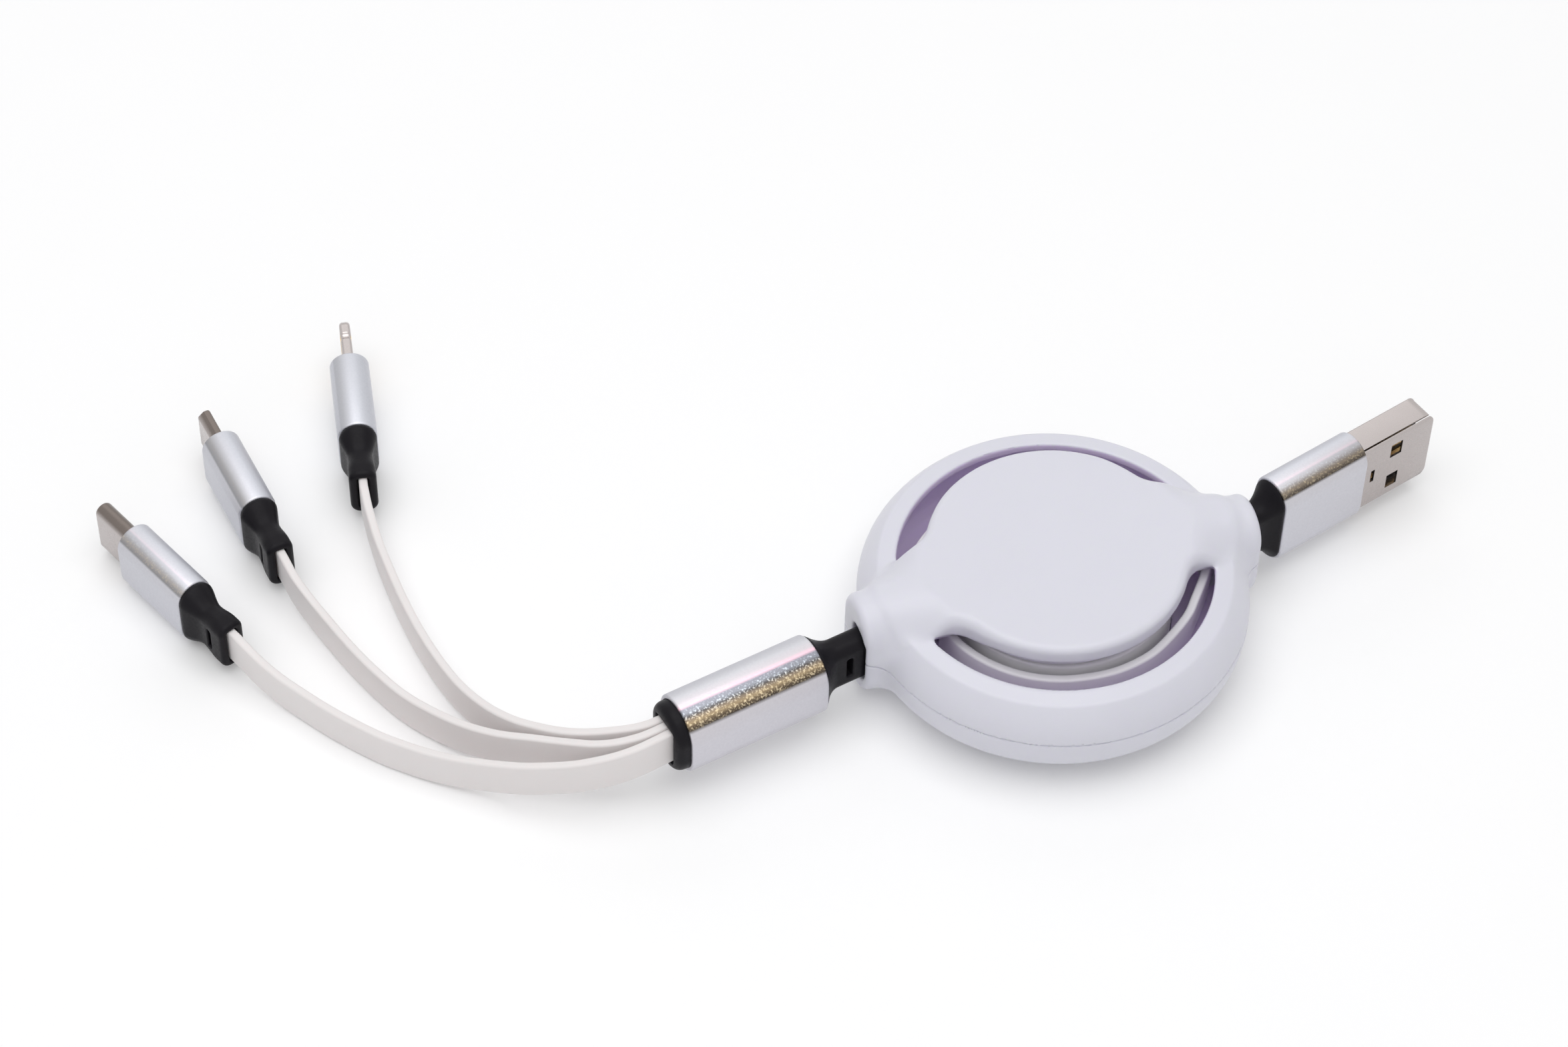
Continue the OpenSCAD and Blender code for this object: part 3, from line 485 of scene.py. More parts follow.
def make_half(name, closed):
    """One half as a piece, with its inner faces and the windows' lips marked as inside, for
    painted shade.
    """
    points, faces = field_mesh(
        lambda p: half_field(p, closed), (-29, -27, 0), (29, 27, HALF_T + 0.3), SHELL_CELL
    )
    r, h = np.hypot(points[:, 0], points[:, 1]), points[:, 2]
    wall = outline_distance(r, h, CAVITY_OUTLINE)
    lip = (np.abs(r - WINDOW_R) < 0.25) & (h < RIM_TOP - 0.3)
    if closed:
        points = points * [1, 1, -1]
        faces = faces[:, ::-1]
    piece = add_mesh(name, points + [0, 0, SEAM_Z], faces, sharp_deg=50)
    mark(piece, "inside", (np.abs(wall) < 0.2) | lip)
    return piece


# Flat cable
def strip_section():
    """Rounded section of the flat cable, on edge: across and upright."""
    r, half_t, half_w = CABLE_ROUND, CABLE_T / 2, CABLE_W / 2
    corners = [(1, 1), (-1, 1), (-1, -1), (1, -1)]
    return [
        (sx * (half_t - r) + r * math.cos(a), sz * (half_w - r) + r * math.sin(a))
        for i, (sx, sz) in enumerate(corners)
        for a in (math.radians(90 * i + t) for t in (0, 22.5, 45, 67.5, 90))
    ]


def curve_through(points, steps):
    """Smooth curve through all the points, with a number of steps between each two."""
    points = np.asarray(points, float)
    ends = [2 * points[0] - points[1], *points, 2 * points[-1] - points[-2]]
    line = []
    for a, b, c, d in zip(ends, ends[1:], ends[2:], ends[3:]):
        for t in np.arange(steps) / steps:
            line.append(
                (2 * b + (c - a) * t + (2 * a - 5 * b + 4 * c - d) * t ** 2
                 + (3 * b - a - 3 * c + d) * t ** 3) / 2
            )
    return np.array(line + [points[-1]])


def strip_mesh(name, line, ends=None):
    """Flat cable on edge along a line; ends are the level directions at its two ends."""
    line = np.asarray(line, float)
    ahead = np.gradient(line[:, :2], axis=0)
    if ends:
        ahead[0], ahead[-1] = ends
    ahead /= np.linalg.norm(ahead, axis=1)[:, None]
    rings = [
        (p[0] - u[1] * a, p[1] + u[0] * a, p[2] + b)
        for p, u in zip(line, ahead) for a, b in strip_section()
    ]
    return add_mesh(name, rings, loft_faces(len(line), len(strip_section())), sharp_deg=60)


def polar_rad(r, a):
    return np.array([r * math.cos(a), r * math.sin(a)])


def polar(r, degrees):
    return polar_rad(r, math.radians(degrees))


def cord_line(name):
    """Middle line of a cord from the splitter's cap to the plug's boot."""
    u = polar(1, SPLITTER_YAW)
    reach = SPLITTER["sleeve"] + SPLITTER["length"] + CAP_LEN
    side = CORD_ROWS[name] * CORD_PITCH * np.array([u[1], -u[0]])
    start = np.array(SPLITTER_PIVOT) + reach * u + side
    x, y, yaw = PLACES[name]
    v = polar(1, yaw)
    end = np.array([x, y]) - (SMALL_LEN + SMALL_BOOT) * v
    points = [(*start, SEAM_Z), *ROUTES[name], (*end, SMALL_Z)]
    line = curve_through(points, 5)
    first = np.array([*(start - CORD_OVERLAP * u), SEAM_Z])
    last = np.array([*(end + CORD_IN_BOOT * v), SMALL_Z])
    return np.vstack([[first], line, [last]]), (u, v)


# Sections of the plugs, seen along their axis: y is level, z upright
def rect(w, h):
    """Corners of an upright rectangle."""
    return [(w / 2, -h / 2), (w / 2, h / 2), (-w / 2, h / 2), (-w / 2, -h / 2)]


def ring(corners, r, inset=0.0, cuts=None, arc=6):
    """Rounded ring through convex corners; cuts adds points along an edge, from its middle."""
    deep = max(r, inset + 0.02)
    core = np.array(inset_outline(corners, deep))
    radius = deep - inset
    n = len(core)
    points = []
    for i in range(n):
        before, after = core[i] - core[i - 1], core[(i + 1) % n] - core[i]
        a0, a1 = (math.atan2(-e[0], e[1]) for e in (before, after))
        a1 = a0 + (a1 - a0) % (2 * math.pi)
        points += [core[i] + polar_rad(radius, a0 + (a1 - a0) * k / arc) for k in range(arc + 1)]
        middle, ahead = (core[i] + core[(i + 1) % n]) / 2, after / np.linalg.norm(after)
        for s in (cuts or {}).get(i, ()):
            points.append(middle + ahead * s + polar_rad(radius, a1))
    return points


def sleeve_mesh(name, x0, x1, w, h, place, front, gold, painted_reflection_strength):
    """Hollow sleeve with softly broken edges; front is the side from which the painted
    reflection's stripes run upwards.
    """
    def section(inset):
        return ring(rect(w, h), w / 2 - 0.02, inset, arc=16)

    stations = [
        (x0 + SLEEVE_BEVEL * (1 - math.cos(a)), SLEEVE_BEVEL * (1 - math.sin(a)))
        for a in map(math.radians, (0, 30, 60, 90))
    ]
    stations += [(x0 + x1 - x, inset) for x, inset in reversed(stations)]
    stations += [(x1, SLEEVE_WALL), (x0, SLEEVE_WALL)]
    rings = [[(x, y, z) for y, z in section(inset)] for x, inset in stations]
    points = placed([p for r in rings for p in r], *place)
    piece = add_mesh(name, points, loft_faces(len(rings), len(rings[0]), loop=True), sharp_deg=50)
    turn = [
        math.atan2(max(0, z - (h - w) / 2), front * y) / math.pi for y, z in section(0)
    ]
    mark(piece, "turn", turn * len(rings))
    # How gold and how strong the sleeve's painted reflection is, for the material
    mark(piece, "gold", [gold] * len(points))
    mark(piece, "painted_reflection_strength", [painted_reflection_strength] * len(points))
    return piece


def shell_mesh(name, shape, wall, stations, place, is_open=None, tip_pull=None, edge=None):
    """Sheet-metal tube; shape gives the ring for an inset, is_open the cells to leave out, edge
    the heights of the painted shade.
    """
    def ring_at(x, inset):
        pull = tip_pull if tip_pull and x > stations[-1][0] - 1 else lambda z: 0
        return [(x - pull(z), y, z) for y, z in shape(inset)]

    outer = [ring_at(x, inset) for x, inset in stations]
    inner = [ring_at(x, wall) for x, _ in stations]
    n, rows = len(outer[0]), len(stations) - 1
    points = [p for r in outer + inner for p in r]
    base = len(stations) * n

    def solid(i, k):
        if not 0 <= i < rows:
            return False
        middle = (np.array(outer[i][k % n]) + outer[i + 1][(k + 1) % n]) / 2
        return not (is_open and is_open(*middle))

    faces = []
    for i, k in np.ndindex(rows, n):
        if not solid(i, k):
            continue
        a, b = i * n + k, i * n + (k + 1) % n
        c, d = b + n, a + n
        faces += [(a, b, c, d), (base + d, base + c, base + b, base + a)]
        for (ni, nk), (p, q) in (
            ((i - 1, k), (a, b)), ((i + 1, k), (c, d)), ((i, k - 1), (d, a)), ((i, k + 1), (b, c)),
        ):
            if not solid(ni, nk):
                faces.append((q, p, base + p, base + q))
    piece = add_mesh(name, placed(points, *place), faces, sharp_deg=35)
    if edge:
        # How far up into the rounded edge each point is, for the material's painted shade
        mark(piece, "painted_shade_rise", [max(0, p[2] - edge[0]) / (edge[1] - edge[0]) for p in points])
    return piece


def field_piece(name, field, low, high, cell, place=None, sharp_deg=50):
    points, faces = field_mesh(field, low, high, cell)
    if place:
        points = placed(points, *place)
    return add_mesh(name, points, faces, sharp_deg=sharp_deg)


def swept_field(p, low, high, w, h, r, edge):
    """Body along x whose section's width, height and rounding are functions of x."""
    x, y, z = p.T
    section = rounded_box(y, z, w(x) / 2, h(x) / 2, r(x))
    ends = np.abs(x - (low + high) / 2) - (high - low) / 2
    return common(section, ends, edge)


def box_field(p, middle, half, r):
    q = np.abs(p - middle) - np.array(half) + r
    return np.linalg.norm(np.maximum(q, 0), axis=1) + np.minimum(q.max(1), 0) - r


def reel_boot_field(size):
    """Boot at the reel: a collar that flares to the sleeve, with a slot through it."""
    def field(p):
        def blend(x):
            return np.clip((x - size["flare"]) / (size["sleeve"] - size["flare"]), 0, 1) ** 2

        body = swept_field(
            p, size["back"], size["sleeve"] + 0.02,
            lambda x: COLLAR_W + (size["w"] - REEL_BOOT_PLAY - COLLAR_W) * blend(x),
            lambda x: COLLAR_H + (size["h"] - REEL_BOOT_PLAY - COLLAR_H) * blend(x),
            lambda x: COLLAR_R + (size["w"] * 0.48 - COLLAR_R) * blend(x),
            0.5,
        )
        slot = box_field(p, (size["flare"] - 1.6, 0, 0), (0.45, 9, SLOT_HALF_H), 0.3)
        exit_hole = box_field(p, (size["back"], 0, 0), (0.8, 0.85, 3.1), 0.4)
        return cut(cut(body, slot, 0.25), exit_hole, 0.25)
    return field


def small_boot_field(p):
    """Boot of a small plug: a waist behind the sleeve, then a swell around the cord."""
    back = -SMALL_LEN - SMALL_BOOT_SEEN

    def t(x):
        return np.clip((-SMALL_LEN - x) / SMALL_BOOT_SEEN, 0, 1)

    def waist(x):
        return smooth(t(x) / 0.45)

    def swell(x):
        return smooth((t(x) - 0.45) / 0.35)

    body = swept_field(
        p, back, -SMALL_LEN + 0.02,
        lambda x: SMALL_W - BOOT_PLAY - 1.9 * waist(x) + 0.35 * swell(x),
        lambda x: SMALL_H - BOOT_PLAY - 3.2 * waist(x) + 0.8 * swell(x),
        lambda x: SMALL_W * 0.48 - 1.2 * waist(x),
        0.7,
    )
    slot_x = -SMALL_LEN - 0.64 * SMALL_BOOT_SEEN
    slot = box_field(p, (slot_x, 0, 0), (0.42, 9, SLOT_HALF_H), 0.25)
    exit_hole = box_field(p, (back, 0, 0), (1.0, 0.8, 2.98), 0.4)
    return cut(cut(body, slot, 0.25), exit_hole, 0.25)


def cap_field(p):
    """Rounded cap in the splitter's sleeve, with one opening for the three cords."""
    end = SPLITTER["sleeve"] + SPLITTER["length"]
    gap = 2 * SLEEVE_WALL + BOOT_PLAY
    w, h = SPLITTER["w"] - gap, SPLITTER["h"] - gap
    body = swept_field(
        p, end - 2, end + CAP_LEN, lambda x: w, lambda x: h, lambda x: w / 2, 1.4
    )
    exit_hole = box_field(p, (end + CAP_LEN, 0, 0), (0.6, 2.2, 3.15), 0.4)
    return cut(body, exit_hole, 0.25)


def tab_field(p):
    """Eight-pin tab: a flat tongue with rounded front corners and side notches."""
    x, y, z = p.T
    middle, half = (TAB_REACH + SMALL_INSIDE) / 2, (TAB_REACH - SMALL_INSIDE) / 2
    plan = rounded_box(x - middle, z, half, TAB_HALF_W, 1.6)
    for side in (-1, 1):
        notch = np.hypot(x - TAB_REACH + 3.4, z - side * (TAB_HALF_W + 0.25)) - 0.6
        plan = cut(plan, notch, 0.1)
    body = common(plan, np.abs(y) - TAB_HALF_T, 0.55)
    pocket = box_field(p, (5, 0, 0), (1.55, 9, 2.72), 0.3)
    return cut(body, np.maximum(pocket, TAB_HALF_T - TAB_POCKET - np.abs(y)), 0.05)


# Looks
def new_node(nodes, kind, links, values=(), wires=(), **settings):
    """A node with its settings, its input values and its wires in."""
    node = nodes.new(kind)
    for key, value in settings.items():
        setattr(node, key, value)
    for key, value in dict(values).items():
        node.inputs[key].default_value = value
    for key, source in dict(wires).items():
        links.new(source, node.inputs[key])
    return node


def make_material(
    name, colour, other, rough, metal=0.0, grain=900, bump=0.05, mottle=90, extra=None
):
    """Material whose colour, roughness and surface vary with procedural noise."""
    material = bpy.data.materials.new(name)
    material.use_nodes = True
    nodes, links = material.node_tree.nodes, material.node_tree.links
    shader = nodes["Principled BSDF"]
    place = nodes.new("ShaderNodeTexCoord").outputs["Object"]

    def add(kind, values=(), wires=(), **settings):
        return new_node(nodes, kind, links, values, wires, **settings)

    broad = add("ShaderNodeTexNoise", {"Scale": mottle, "Detail": 3}, {"Vector": place})
    fine = add("ShaderNodeTexNoise", {"Scale": grain, "Detail": 4}, {"Vector": place})
    mix = add(
        "ShaderNodeMix", {6: (*colour, 1), 7: (*other, 1)}, {0: broad.outputs["Fac"]},
        data_type="RGBA",
    )
    links.new(mix.outputs[2], shader.inputs["Base Color"])
    spread = add(
        "ShaderNodeMapRange",
        {"From Min": 0.3, "From Max": 0.7, "To Min": rough[0], "To Max": rough[1]},
        {"Value": fine.outputs["Fac"]},
    )
    links.new(spread.outputs["Result"], shader.inputs["Roughness"])
    relief = add(
        "ShaderNodeBump", {"Strength": bump, "Distance": 0.0001}, {"Height": fine.outputs["Fac"]}
    )
    links.new(relief.outputs["Normal"], shader.inputs["Normal"])
    shader.inputs["Metallic"].default_value = metal
    for key, value in (extra or {}).items():
        shader.inputs[key].default_value = value
    return material, add, mix.outputs[2], fine.outputs["Fac"], shader, links


def housing_material():
    """Satin white plastic, with painted mauve shade on the walls inside the housing."""
    material, add, colour, _, shader, links = make_material(
        "satin_white_plastic", (0.745, 0.745, 0.815), (0.725, 0.722, 0.795), (0.3, 0.42),
        grain=1400,
    )
    inside = add("ShaderNodeAttribute", attribute_name="inside")
    # Painted shade: mauve on the faces marked as inside
    painted_shade_tint = add(
        "ShaderNodeMix", {7: (0.82, 0.71, 0.95, 1)}, {0: inside.outputs["Fac"], 6: colour},
        data_type="RGBA",
    )
    links.new(painted_shade_tint.outputs[2], shader.inputs["Base Color"])
    shader.inputs["Subsurface Weight"].default_value = 0.45
    shader.inputs["Subsurface Radius"].default_value = (0.003, 0.0026, 0.0034)
    return material


# Painted reflection on the sleeves: stripes, each at a place from one flat side (0) over the top
# (0.5) to the other (1)
GOLD_PAINTED_REFLECTION = [
    (0, (0.64, 0.63, 0.67)), (0.18, (0.6, 0.58, 0.61)), (0.215, (0.075, 0.062, 0.052)),
    (0.25, (0.15, 0.112, 0.075)), (0.285, (0.36, 0.275, 0.17)), (0.315, (0.26, 0.205, 0.15)),
    (0.345, (0.1, 0.092, 0.09)), (0.385, (0.25, 0.26, 0.29)), (0.425, (0.27, 0.27, 0.31)),
    (0.452, (0.85, 0.58, 0.66)), (0.49, (0.62, 0.58, 0.61)), (0.58, (0.62, 0.62, 0.65)),
    (0.78, (0.52, 0.52, 0.56)), (1, (0.64, 0.63, 0.67)),
]
PLAIN_PAINTED_REFLECTION = [
    (0, (0.63, 0.63, 0.67)), (0.185, (0.58, 0.57, 0.6)), (0.22, (0.08, 0.068, 0.06)),
    (0.3, (0.2, 0.175, 0.155)), (0.36, (0.4, 0.38, 0.38)), (0.45, (0.55, 0.54, 0.57)),
    (0.6, (0.62, 0.63, 0.68)), (0.78, (0.5, 0.5, 0.54)), (1, (0.63, 0.63, 0.67)),
]
# Sleeve colour where no painted reflection is laid on
EVEN_SLEEVE = (0.56, 0.57, 0.61)


def aluminium_material():
    """Anodised sleeve with painted reflection: stripes around its upper round, and painted glints
    in the dark ones.
    """
    material, add, colour, fine, shader, links = make_material(
        "anodised_sleeve_painted_reflection", (1, 1, 1), (0.93, 0.93, 0.94), (0.42, 0.56), metal=1.0, grain=3600,
        bump=0.15, mottle=2600,
    )

    def value(name):
        return add("ShaderNodeAttribute", attribute_name=name).outputs["Fac"]

    def ramp(painted_reflection):
        node = add("ShaderNodeValToRGB", wires={0: turn})
        elements = node.color_ramp.elements
        while len(elements) < len(painted_reflection):
            elements.new(0.5)
        for element, (position, shade) in zip(elements, painted_reflection):
            element.position = position
            element.color = (*shade, 1)
        return node.outputs["Color"]

    def mix(fac, a, b, **settings):
        values, wires = {}, {}
        for key, source in ((0, fac), (6, a), (7, b)):
            plain = isinstance(source, (int, float, tuple))
            (values if plain else wires)[key] = source
        return add("ShaderNodeMix", values, wires, data_type="RGBA", **settings).outputs[2]

    def span(source, a, b, low, high):
        return add(
            "ShaderNodeMapRange", {"From Min": a, "From Max": b, "To Min": low, "To Max": high},
            {"Value": source},
        ).outputs["Result"]

    def times(a, b):
        return add("ShaderNodeMath", wires={0: a, 1: b}, operation="MULTIPLY").outputs[0]

    # Place round the section, and how gold and how strong the painted reflection is
    turn, gold, painted_reflection_strength = value("turn"), value("gold"), value("painted_reflection_strength")
    painted_reflection = mix(gold, ramp(PLAIN_PAINTED_REFLECTION), ramp(GOLD_PAINTED_REFLECTION))
    painted_reflection = mix(painted_reflection_strength, (*EVEN_SLEEVE, 1), painted_reflection)
    tone = mix(1.0, painted_reflection, colour, blend_type="MULTIPLY")
    # Painted glints: gold and pale specks in the painted dark stripe
    painted_glint = mix(span(turn, 0.3, 0.37, 0, 1), (0.88, 0.74, 0.5, 1), (0.7, 0.75, 0.82, 1))
    painted_glint_area = times(span(turn, 0.2, 0.24, 0, 1), span(turn, 0.38, 0.45, 1, 0))
    amount = times(times(painted_glint_area, span(fine, 0.5, 0.68, 0, 0.8)), span(gold, 0, 1, 0.15, 1))
    links.new(mix(times(amount, painted_reflection_strength), tone, painted_glint), shader.inputs["Base Color"])
    return material


def steel_material():
    """Nickel-plated steel, with painted brown shade where a plug's shell turns to its rounded
    edge.
    """
    material, add, colour, _, shader, links = make_material(
        "plated_steel", (0.48, 0.44, 0.43), (0.46, 0.42, 0.41), (0.24, 0.3), metal=1.0, bump=0.02
    )
    painted_shade_rise = add("ShaderNodeAttribute", attribute_name="painted_shade_rise").outputs["Fac"]
    edge = add(
        "ShaderNodeMapRange", {"From Min": 0.2, "From Max": 0.7, "To Min": 0, "To Max": 0.85},
        {"Value": painted_shade_rise},
    )
    painted_shade_brown = add(
        "ShaderNodeMix", {7: (0.13, 0.105, 0.09, 1)}, {0: edge.outputs["Result"], 6: colour},
        data_type="RGBA",
    )
    links.new(painted_shade_brown.outputs[2], shader.inputs["Base Color"])
    return material


MATERIALS = {
    name: make_material(name, *looks, **more)[0] for name, looks, more in (
        ("inner_plastic", ((0.82, 0.80, 0.87), (0.78, 0.76, 0.83), (0.4, 0.55)), {}),
        ("spring_steel", ((0.35, 0.36, 0.4), (0.28, 0.28, 0.31), (0.25, 0.4)), dict(metal=1.0)),
        (
            "cable_jacket", ((0.87, 0.835, 0.83), (0.84, 0.80, 0.795), (0.45, 0.6)),
            dict(grain=2500, bump=0.08, extra={
                "Subsurface Weight": 0.2, "Subsurface Radius": (0.002, 0.0015, 0.0015),
            }),
        ),
        # Copy of the cable jacket, whiter and brighter for the cable inside the housing: painted
        # light
        (
            "wound_jacket_painted_light", ((0.95, 0.94, 0.96), (0.93, 0.92, 0.94), (0.45, 0.6)),
            dict(grain=2500, bump=0.08),
        ),
        (
            "boot_rubber", ((0.007, 0.006, 0.008), (0.011, 0.010, 0.013), (0.34, 0.48)),
            dict(grain=3000, bump=0.12, extra={"Specular IOR Level": 0.11}),
        ),
        ("plug_plastic", ((0.78, 0.78, 0.79), (0.72, 0.72, 0.74), (0.35, 0.5)), {}),
        ("gold_plate", ((0.80, 0.56, 0.22), (0.70, 0.47, 0.16), (0.2, 0.32)), dict(metal=1.0)),
        (
            "dark_insert", ((0.02, 0.02, 0.022), (0.03, 0.03, 0.034), (0.4, 0.55)),
            dict(extra={"Specular IOR Level": 0.3}),
        ),
    )
}
MATERIALS["housing"] = housing_material()
MATERIALS["sleeve_aluminium"] = aluminium_material()
MATERIALS["plug_steel"] = steel_material()


def dress(piece, slot_name, body=None, nodes=(), look=None):
    """Gives a piece its material and body, and hides the CAD nodes that it stands for."""
    piece.data.materials.append(MATERIALS[look or slot_name])
    if nodes:
        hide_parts(*nodes)
    if body:
        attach(piece, body)
    return piece


make_camera()
cords = {}
for name in PLACES:
    line, ends = cord_line(name)
    piece = strip_mesh(f"{name}_flat_cord", line, ends)
    cords[name] = (dress(piece, "cable_jacket", "splitter", [f"{name}_cord"]), line)

for name, closed in (("upper", False), ("lower", True)):
    dress(make_half(f"{name}_half", closed), "housing", "reel", [f"{name}_shell"])


def lathe(name, profile, steps=64):
    """Solid turned about the reel's axis; the profile runs from axis to axis."""
    rings = [
        (r * math.cos(a), r * math.sin(a), SEAM_Z + h)
        for r, h in profile[1:-1] for a in (2 * math.pi * k / steps for k in range(steps))
    ]
    return add_mesh(name, rings, loft_faces(len(profile) - 2, steps), sharp_deg=40)


dress(lathe("spool_post", POST), "housing", "reel")

# Sleeves and boots at the reel; the last two corners are the box that a boot lies in
PLUG_PLACE = (PLUG_PIVOT, PLUG_YAW, SEAM_Z)
SPLITTER_PLACE = (SPLITTER_PIVOT, SPLITTER_YAW, SEAM_Z)
# After the place, each row's three numbers set the sleeve's painted reflection: its side, how
# gold, how strong
for name, size, body, place, painted_reflection, low, high in (
    (
        "usb_a", USB_A, "usb_a_plug", PLUG_PLACE, (-1, 0.25, 1),
        (2.7, -3.3, -7.4), (9.8, 3.3, 7.4),
    ),
    (
        "splitter", SPLITTER, "splitter", SPLITTER_PLACE, (1, 1, 1),
        (6.0, -4.6, -6.0), (15.6, 4.6, 6.0),
    ),
):
    back, front = size["sleeve"], size["sleeve"] + size["length"]
    dress(
        sleeve_mesh(f"{name}_tube", back, front, size["w"], size["h"], place, *painted_reflection),
        "sleeve_aluminium", body, [f"{name}_sleeve"],
    )
    dress(
        field_piece(f"{name}_relief", reel_boot_field(size), low, high, BOOT_CELL, place),
        "boot_rubber", body, [f"{name}_boot"],
    )
dress(
    field_piece(
        "splitter_end_cap", cap_field, (33.7, -4.1, -5.5), (37.7, 4.1, 5.5), BOOT_CELL,
        SPLITTER_PLACE,
    ),
    "boot_rubber", "splitter", ["splitter_cap"],
)

# USB-A shell
USB_A_FRONT = USB_A["sleeve"] + USB_A["length"]
TIP = USB_A_FRONT + USB_A_REACH
HOLE_X = (TIP - 7.5, TIP - 5.5)
HOLE_Z = (1.85, 4.35)
SLIT_X = (USB_A_FRONT + 1.8, USB_A_FRONT + 2.45)
SLIT_Z = 1.15
SEAM_Y = (-1.92, -1.68)
TIP_ROUND = 1.4


def usb_a_ring(inset):
    """Section of the shell, with points where its holes, slit and seam begin and end."""
    near_corner = (4.7, 5.0, 5.25, 5.45)
    up = (*HOLE_Z, *near_corner)
    down = tuple(-z for z in reversed(up))
    cuts = {0: (*down, *up), 1: (-SEAM_Y[1], -SEAM_Y[0]), 2: (*down, -SLIT_Z, SLIT_Z, *up)}
    return ring(rect(*USB_A_SIZE), 0.4, inset, cuts)


def usb_a_tip_pull(z):
    """How far the tip's rounded corners stand back from the tip."""
    over = min(1, max(0, abs(z) - USB_A_SIZE[1] / 2 + TIP_ROUND) / TIP_ROUND)
    return TIP_ROUND * (1 - math.sqrt(1 - over * over))


def usb_a_open(x, y, z):
    hole = abs(y) > 2 and HOLE_Z[0] < abs(z) < HOLE_Z[1] and HOLE_X[0] < x < HOLE_X[1]
    slit = y < -2 and abs(z) < SLIT_Z and SLIT_X[0] < x < SLIT_X[1]
    seam = z > 5.6 and SEAM_Y[0] < y < SEAM_Y[1]
    return hole or slit or seam


dress(
    shell_mesh(
        "usb_a_steel", usb_a_ring, 0.3,
        [(x, 0) for x in (USB_A_FRONT - 5, *SLIT_X, *HOLE_X, TIP - 0.25)]
        + [(TIP - 0.1, 0.05), (TIP, 0.15)],
        PLUG_PLACE, usb_a_open, usb_a_tip_pull,
    ),
    "plug_steel", "usb_a_plug", ["usb_a_shell"],
)

# Small plugs
SMALL_PLACES = {name: ((x, y), yaw, SMALL_Z) for name, (x, y, yaw) in PLACES.items()}
for name, place in SMALL_PLACES.items():
    dress(
        sleeve_mesh(
            f"{name}_tube", -SMALL_LEN, 0, SMALL_W, SMALL_H, place, 1, *SMALL_PAINTED_REFLECTION[name]
        ),
        "sleeve_aluminium", "splitter", [f"{name}_sleeve"],
    )
    dress(
        field_piece(
            f"{name}_relief", small_boot_field, (-22.7, -2.8, -5.3), (-13.3, 2.8, 5.3), BOOT_CELL,
            place,
        ),
        "boot_rubber", "splitter", [f"{name}_boot"],
    )

# The last pair gives the heights over which the painted shade comes on at the rounded edge
for name, shape, tip, edge in (
    ("usb_c", lambda inset: ring(rect(*USB_C_SIZE), 1.26, inset, arc=10), 6.7, (2.9, 4.17)),
    ("micro", lambda inset: ring(MICRO_CORNERS, 0.35, inset), 6.0, (2.4, 3.43)),
):
    stations = [(SMALL_INSIDE, 0)]
    stations += [(tip - x, i) for x, i in ((0.3, 0), (0.15, 0.03), (0.05, 0.09), (0, 0.16))]
    dress(
        shell_mesh(
            f"{name}_steel", shape, STEEL_WALL, stations, SMALL_PLACES[name], edge=edge
        ),
        "plug_steel", "splitter", [f"{name}_shell"],
    )
dress(
    field_piece(
        "eight_pin_blade", tab_field, (-4.5, -0.8, -3.4), (8.5, 0.8, 3.4), 0.1,
        SMALL_PLACES["eight_pin"], sharp_deg=40,
    ),
    "plug_steel", "splitter", ["eight_pin_tab"],
)

# Tails and wound cable
def tail_line(pivot, yaw, back, points, turn):
    """Middle line of a tail, from the plug's boot through the port and round to the spool."""
    start = np.array(pivot) + (back - 0.05) * polar(1, yaw)
    ring_points = [
        polar(17.7 - 0.6 * min(1, 3 * t), turn - 60 - 110 * t) for t in np.linspace(0, 1, 10)
    ]
    level = curve_through([start, *points, *ring_points], 8)
    return [(x, y, SEAM_Z) for x, y in level]


# The tails inside the housing wear the brighter copy of the jacket: painted light
for name, tail, node in (
    (
        "plug_side_tail", tail_line(PLUG_PIVOT, PLUG_YAW, USB_A["back"], PLUG_TAIL, 0),
        "plug_tail",
    ),
    (
        "splitter_side_tail",
        tail_line(SPLITTER_PIVOT, SPLITTER_YAW, SPLITTER["back"], SPLITTER_TAIL, 180),
        "splitter_tail",
    ),
):
    dress(strip_mesh(name, tail), "cable_jacket", "reel", [node], "wound_jacket_painted_light")


def strand_r(t):
    """Radius of the winding after t turns, with a dive towards the fold at the end."""
    drop = STRAND_R - STRAND_PITCH * (WOUND_TURNS + FOLD_TURNS) - FOLD_R
    dive = drop * float(smooth((t - WOUND_TURNS) / FOLD_TURNS))
    return STRAND_R - STRAND_PITCH * t - dive


def wound_line():
    """Middle line of the wound cable: in along one strand, round the fold, out along the other."""
    last_a, last_b = WOUND_TURNS + FOLD_TURNS, WOUND_TURNS - 0.5 + FOLD_TURNS
    first = [
        polar(strand_r(t), 180 - 360 * t)
        for t in np.linspace(0, last_a, round(TURN_STEPS * last_a) + 1)
    ]
    second = [
        polar(strand_r(t + 0.5) + STRAND_PITCH / 2, -360 * t)
        for t in np.linspace(0, last_b, round(TURN_STEPS * last_b) + 1)
    ]
    middle = polar(FOLD_R + STRAND_PITCH / 4, 180 - 360 * last_a)
    out = middle / np.linalg.norm(middle)
    ahead = np.array([out[1], -out[0]])
    fold = [
        middle + STRAND_PITCH / 4 * (math.sin(a) * ahead - math.cos(a) * out)
        for a in (math.radians(d) for d in range(15, 180, 15))
    ]
    return [(x, y, SEAM_Z) for x, y in [*first, *fold, *second[::-1]]]


# The wound strands wear the brighter copy of the jacket: painted light
dress(
    strip_mesh("wound_strands", wound_line()), "cable_jacket", "spool", ["wound_cable"],
    "wound_jacket_painted_light",
)


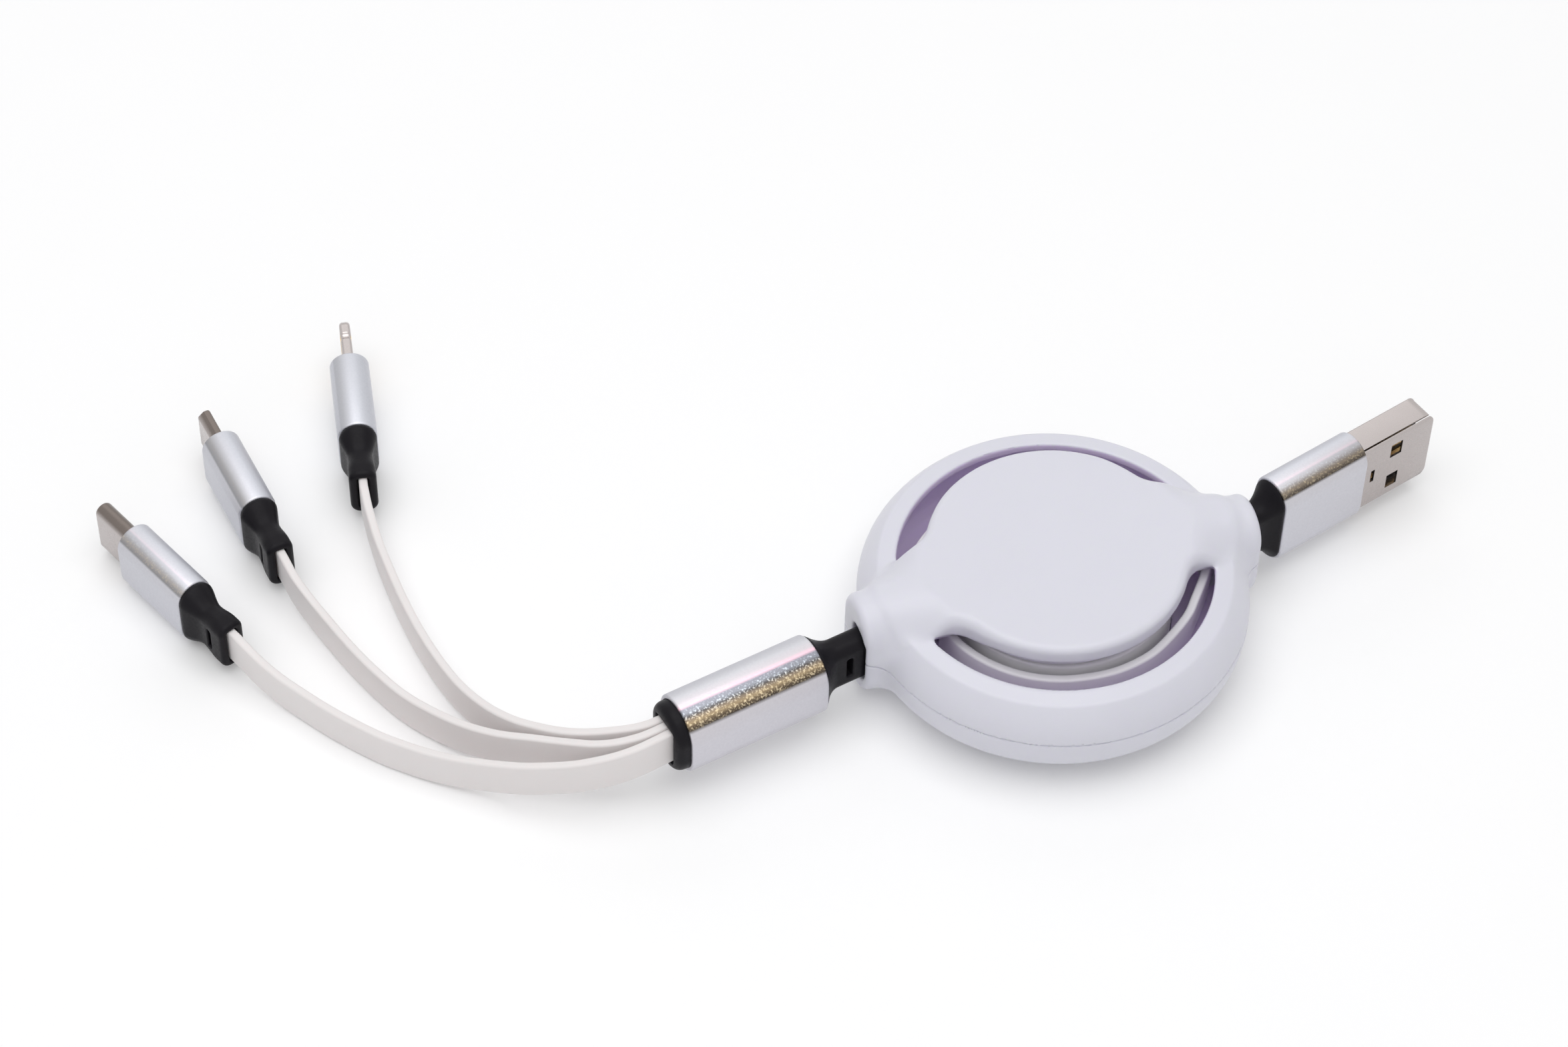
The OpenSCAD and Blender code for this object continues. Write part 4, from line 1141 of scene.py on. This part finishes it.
def pulled_strip(name, pivot, yaw, x0, x1):
    """Stretch of cable that comes out of the port as the plug is pulled."""
    u = polar(1, yaw)
    line = [(*(np.array(pivot) + x * u), SEAM_Z) for x in np.linspace(x0, x1, 41)]
    piece = strip_mesh(name, line)
    piece.data.materials.append(MATERIALS["cable_jacket"])
    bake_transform(piece)


pulled_strip("plug_side_cable", PLUG_PIVOT, PLUG_YAW, 3.0, 5.0)
pulled_strip("splitter_side_cable", SPLITTER_PIVOT, SPLITTER_YAW, 6.4, 8.4)

# CAD pieces that keep their shape
CAD_LOOKS = {
    "inner_plastic": ("spool", "spring_cover"),
    "spring_steel": ("power_spring", "latch_ball"),
    "plug_plastic": ("usb_a_core", "usb_c_core", "micro_core", "eight_pin_core"),
    "dark_insert": ("usb_a_tongue", "splitter_core", "usb_c_insert", "micro_insert"),
    "gold_plate": ("usb_a_contacts", "usb_c_contacts", "micro_contacts", "eight_pin_contacts"),
}
for look, nodes in CAD_LOOKS.items():
    for slot in (slot for node in nodes for slot in frame["nodes"][node].material_slots):
        slot.material = MATERIALS[look]

# Cords: the pieces of the plug on each are gathered last
for name, (piece, line) in cords.items():
    on_it = [bpy.data.objects[n] for n in (f"{name}_tube", f"{name}_relief")]
    on_it += [
        o for n, o in frame["nodes"].items()
        if n.startswith(name) and n.split("_")[-1] in ("core", "insert", "contacts")
    ]
    metal = "eight_pin_blade" if name == "eight_pin" else f"{name}_steel"
    on_it.append(bpy.data.objects[metal])


# Floor, lamps and background
def seen_rays(nodes, links):
    """1 for rays from the camera, a mirror or clear material, else 0."""
    rays = nodes.new("ShaderNodeLightPath")
    total = rays.outputs["Is Camera Ray"]
    for kind in ("Is Glossy Ray", "Is Transmission Ray"):
        total = new_node(
            nodes, "ShaderNodeMath", links, wires={0: total, 1: rays.outputs[kind]},
            operation="MAXIMUM",
        ).outputs[0]
    return total


def make_world():
    """Soft white light from all round, which the camera and mirrors see as plain white."""
    world = bpy.data.worlds.new("studio")
    world.use_nodes = True
    nodes, links = world.node_tree.nodes, world.node_tree.links
    soft = nodes["Background"]
    white = nodes.new("ShaderNodeBackground")
    for light, strength in ((soft, 0.44), (white, 1)):
        light.inputs["Color"].default_value = (1, 1, 1, 1)
        light.inputs["Strength"].default_value = strength
    mix = new_node(
        nodes, "ShaderNodeMixShader", links,
        wires={0: seen_rays(nodes, links), 1: soft.outputs[0], 2: white.outputs[0]},
    )
    links.new(mix.outputs[0], nodes["World Output"].inputs["Surface"])
    bpy.context.scene.world = world


def make_floor():
    """Pale floor just below the object, a little brighter to whatever sees it."""
    a, height = 3, -1e-4
    corners = [(x, y, height) for x, y in ((-a, -a), (a, -a), (a, a), (-a, a))]
    mesh = bpy.data.meshes.new("floor")
    mesh.from_pydata(corners, [], [(0, 1, 2, 3)])
    floor = bpy.data.objects.new("floor", mesh)
    bpy.context.scene.collection.objects.link(floor)
    material, add, _, _, shader, links = make_material(
        "pale_floor", (0.93, 0.93, 0.935), (0.92, 0.92, 0.925), (0.55, 0.65), grain=60, mottle=3
    )
    seen = seen_rays(material.node_tree.nodes, links)
    glow = add("ShaderNodeMath", {1: 0.1}, {0: seen}, operation="MULTIPLY")
    shader.inputs["Emission Color"].default_value = (1, 1, 1, 1)
    links.new(glow.outputs[0], shader.inputs["Emission Strength"])
    mesh.materials.append(material)
    return floor


def make_lamp(name, place, size, watts, aim=(-0.03, 0.01, 0)):
    """Soft rectangular lamp turned to the object's middle."""
    data = bpy.data.lights.new(name, "AREA")
    data.shape = "RECTANGLE"
    data.size, data.size_y = size
    data.energy = watts
    lamp = bpy.data.objects.new(name, data)
    bpy.context.scene.collection.objects.link(lamp)
    away = np.array(place) - aim
    z = away / np.linalg.norm(away)
    x = np.cross((0, 0, 1), z)
    x /= np.linalg.norm(x)
    matrix = np.eye(4)
    matrix[:3, :3] = np.array([x, np.cross(z, x), z]).T
    matrix[:3, 3] = place
    lamp.matrix_world = Matrix(matrix.tolist())
    return lamp


make_world()
make_floor()
make_lamp("key", (-0.1, -0.05, 1.0), (1.1, 1.1), 6.3)
make_lamp("front", (-0.25, -0.65, 0.6), (0.8, 0.8), 0.5)
make_lamp("back", (0.1, 0.8, 0.6), (0.9, 0.4), 0.5)
bpy.context.scene.view_settings.view_transform = "Standard"
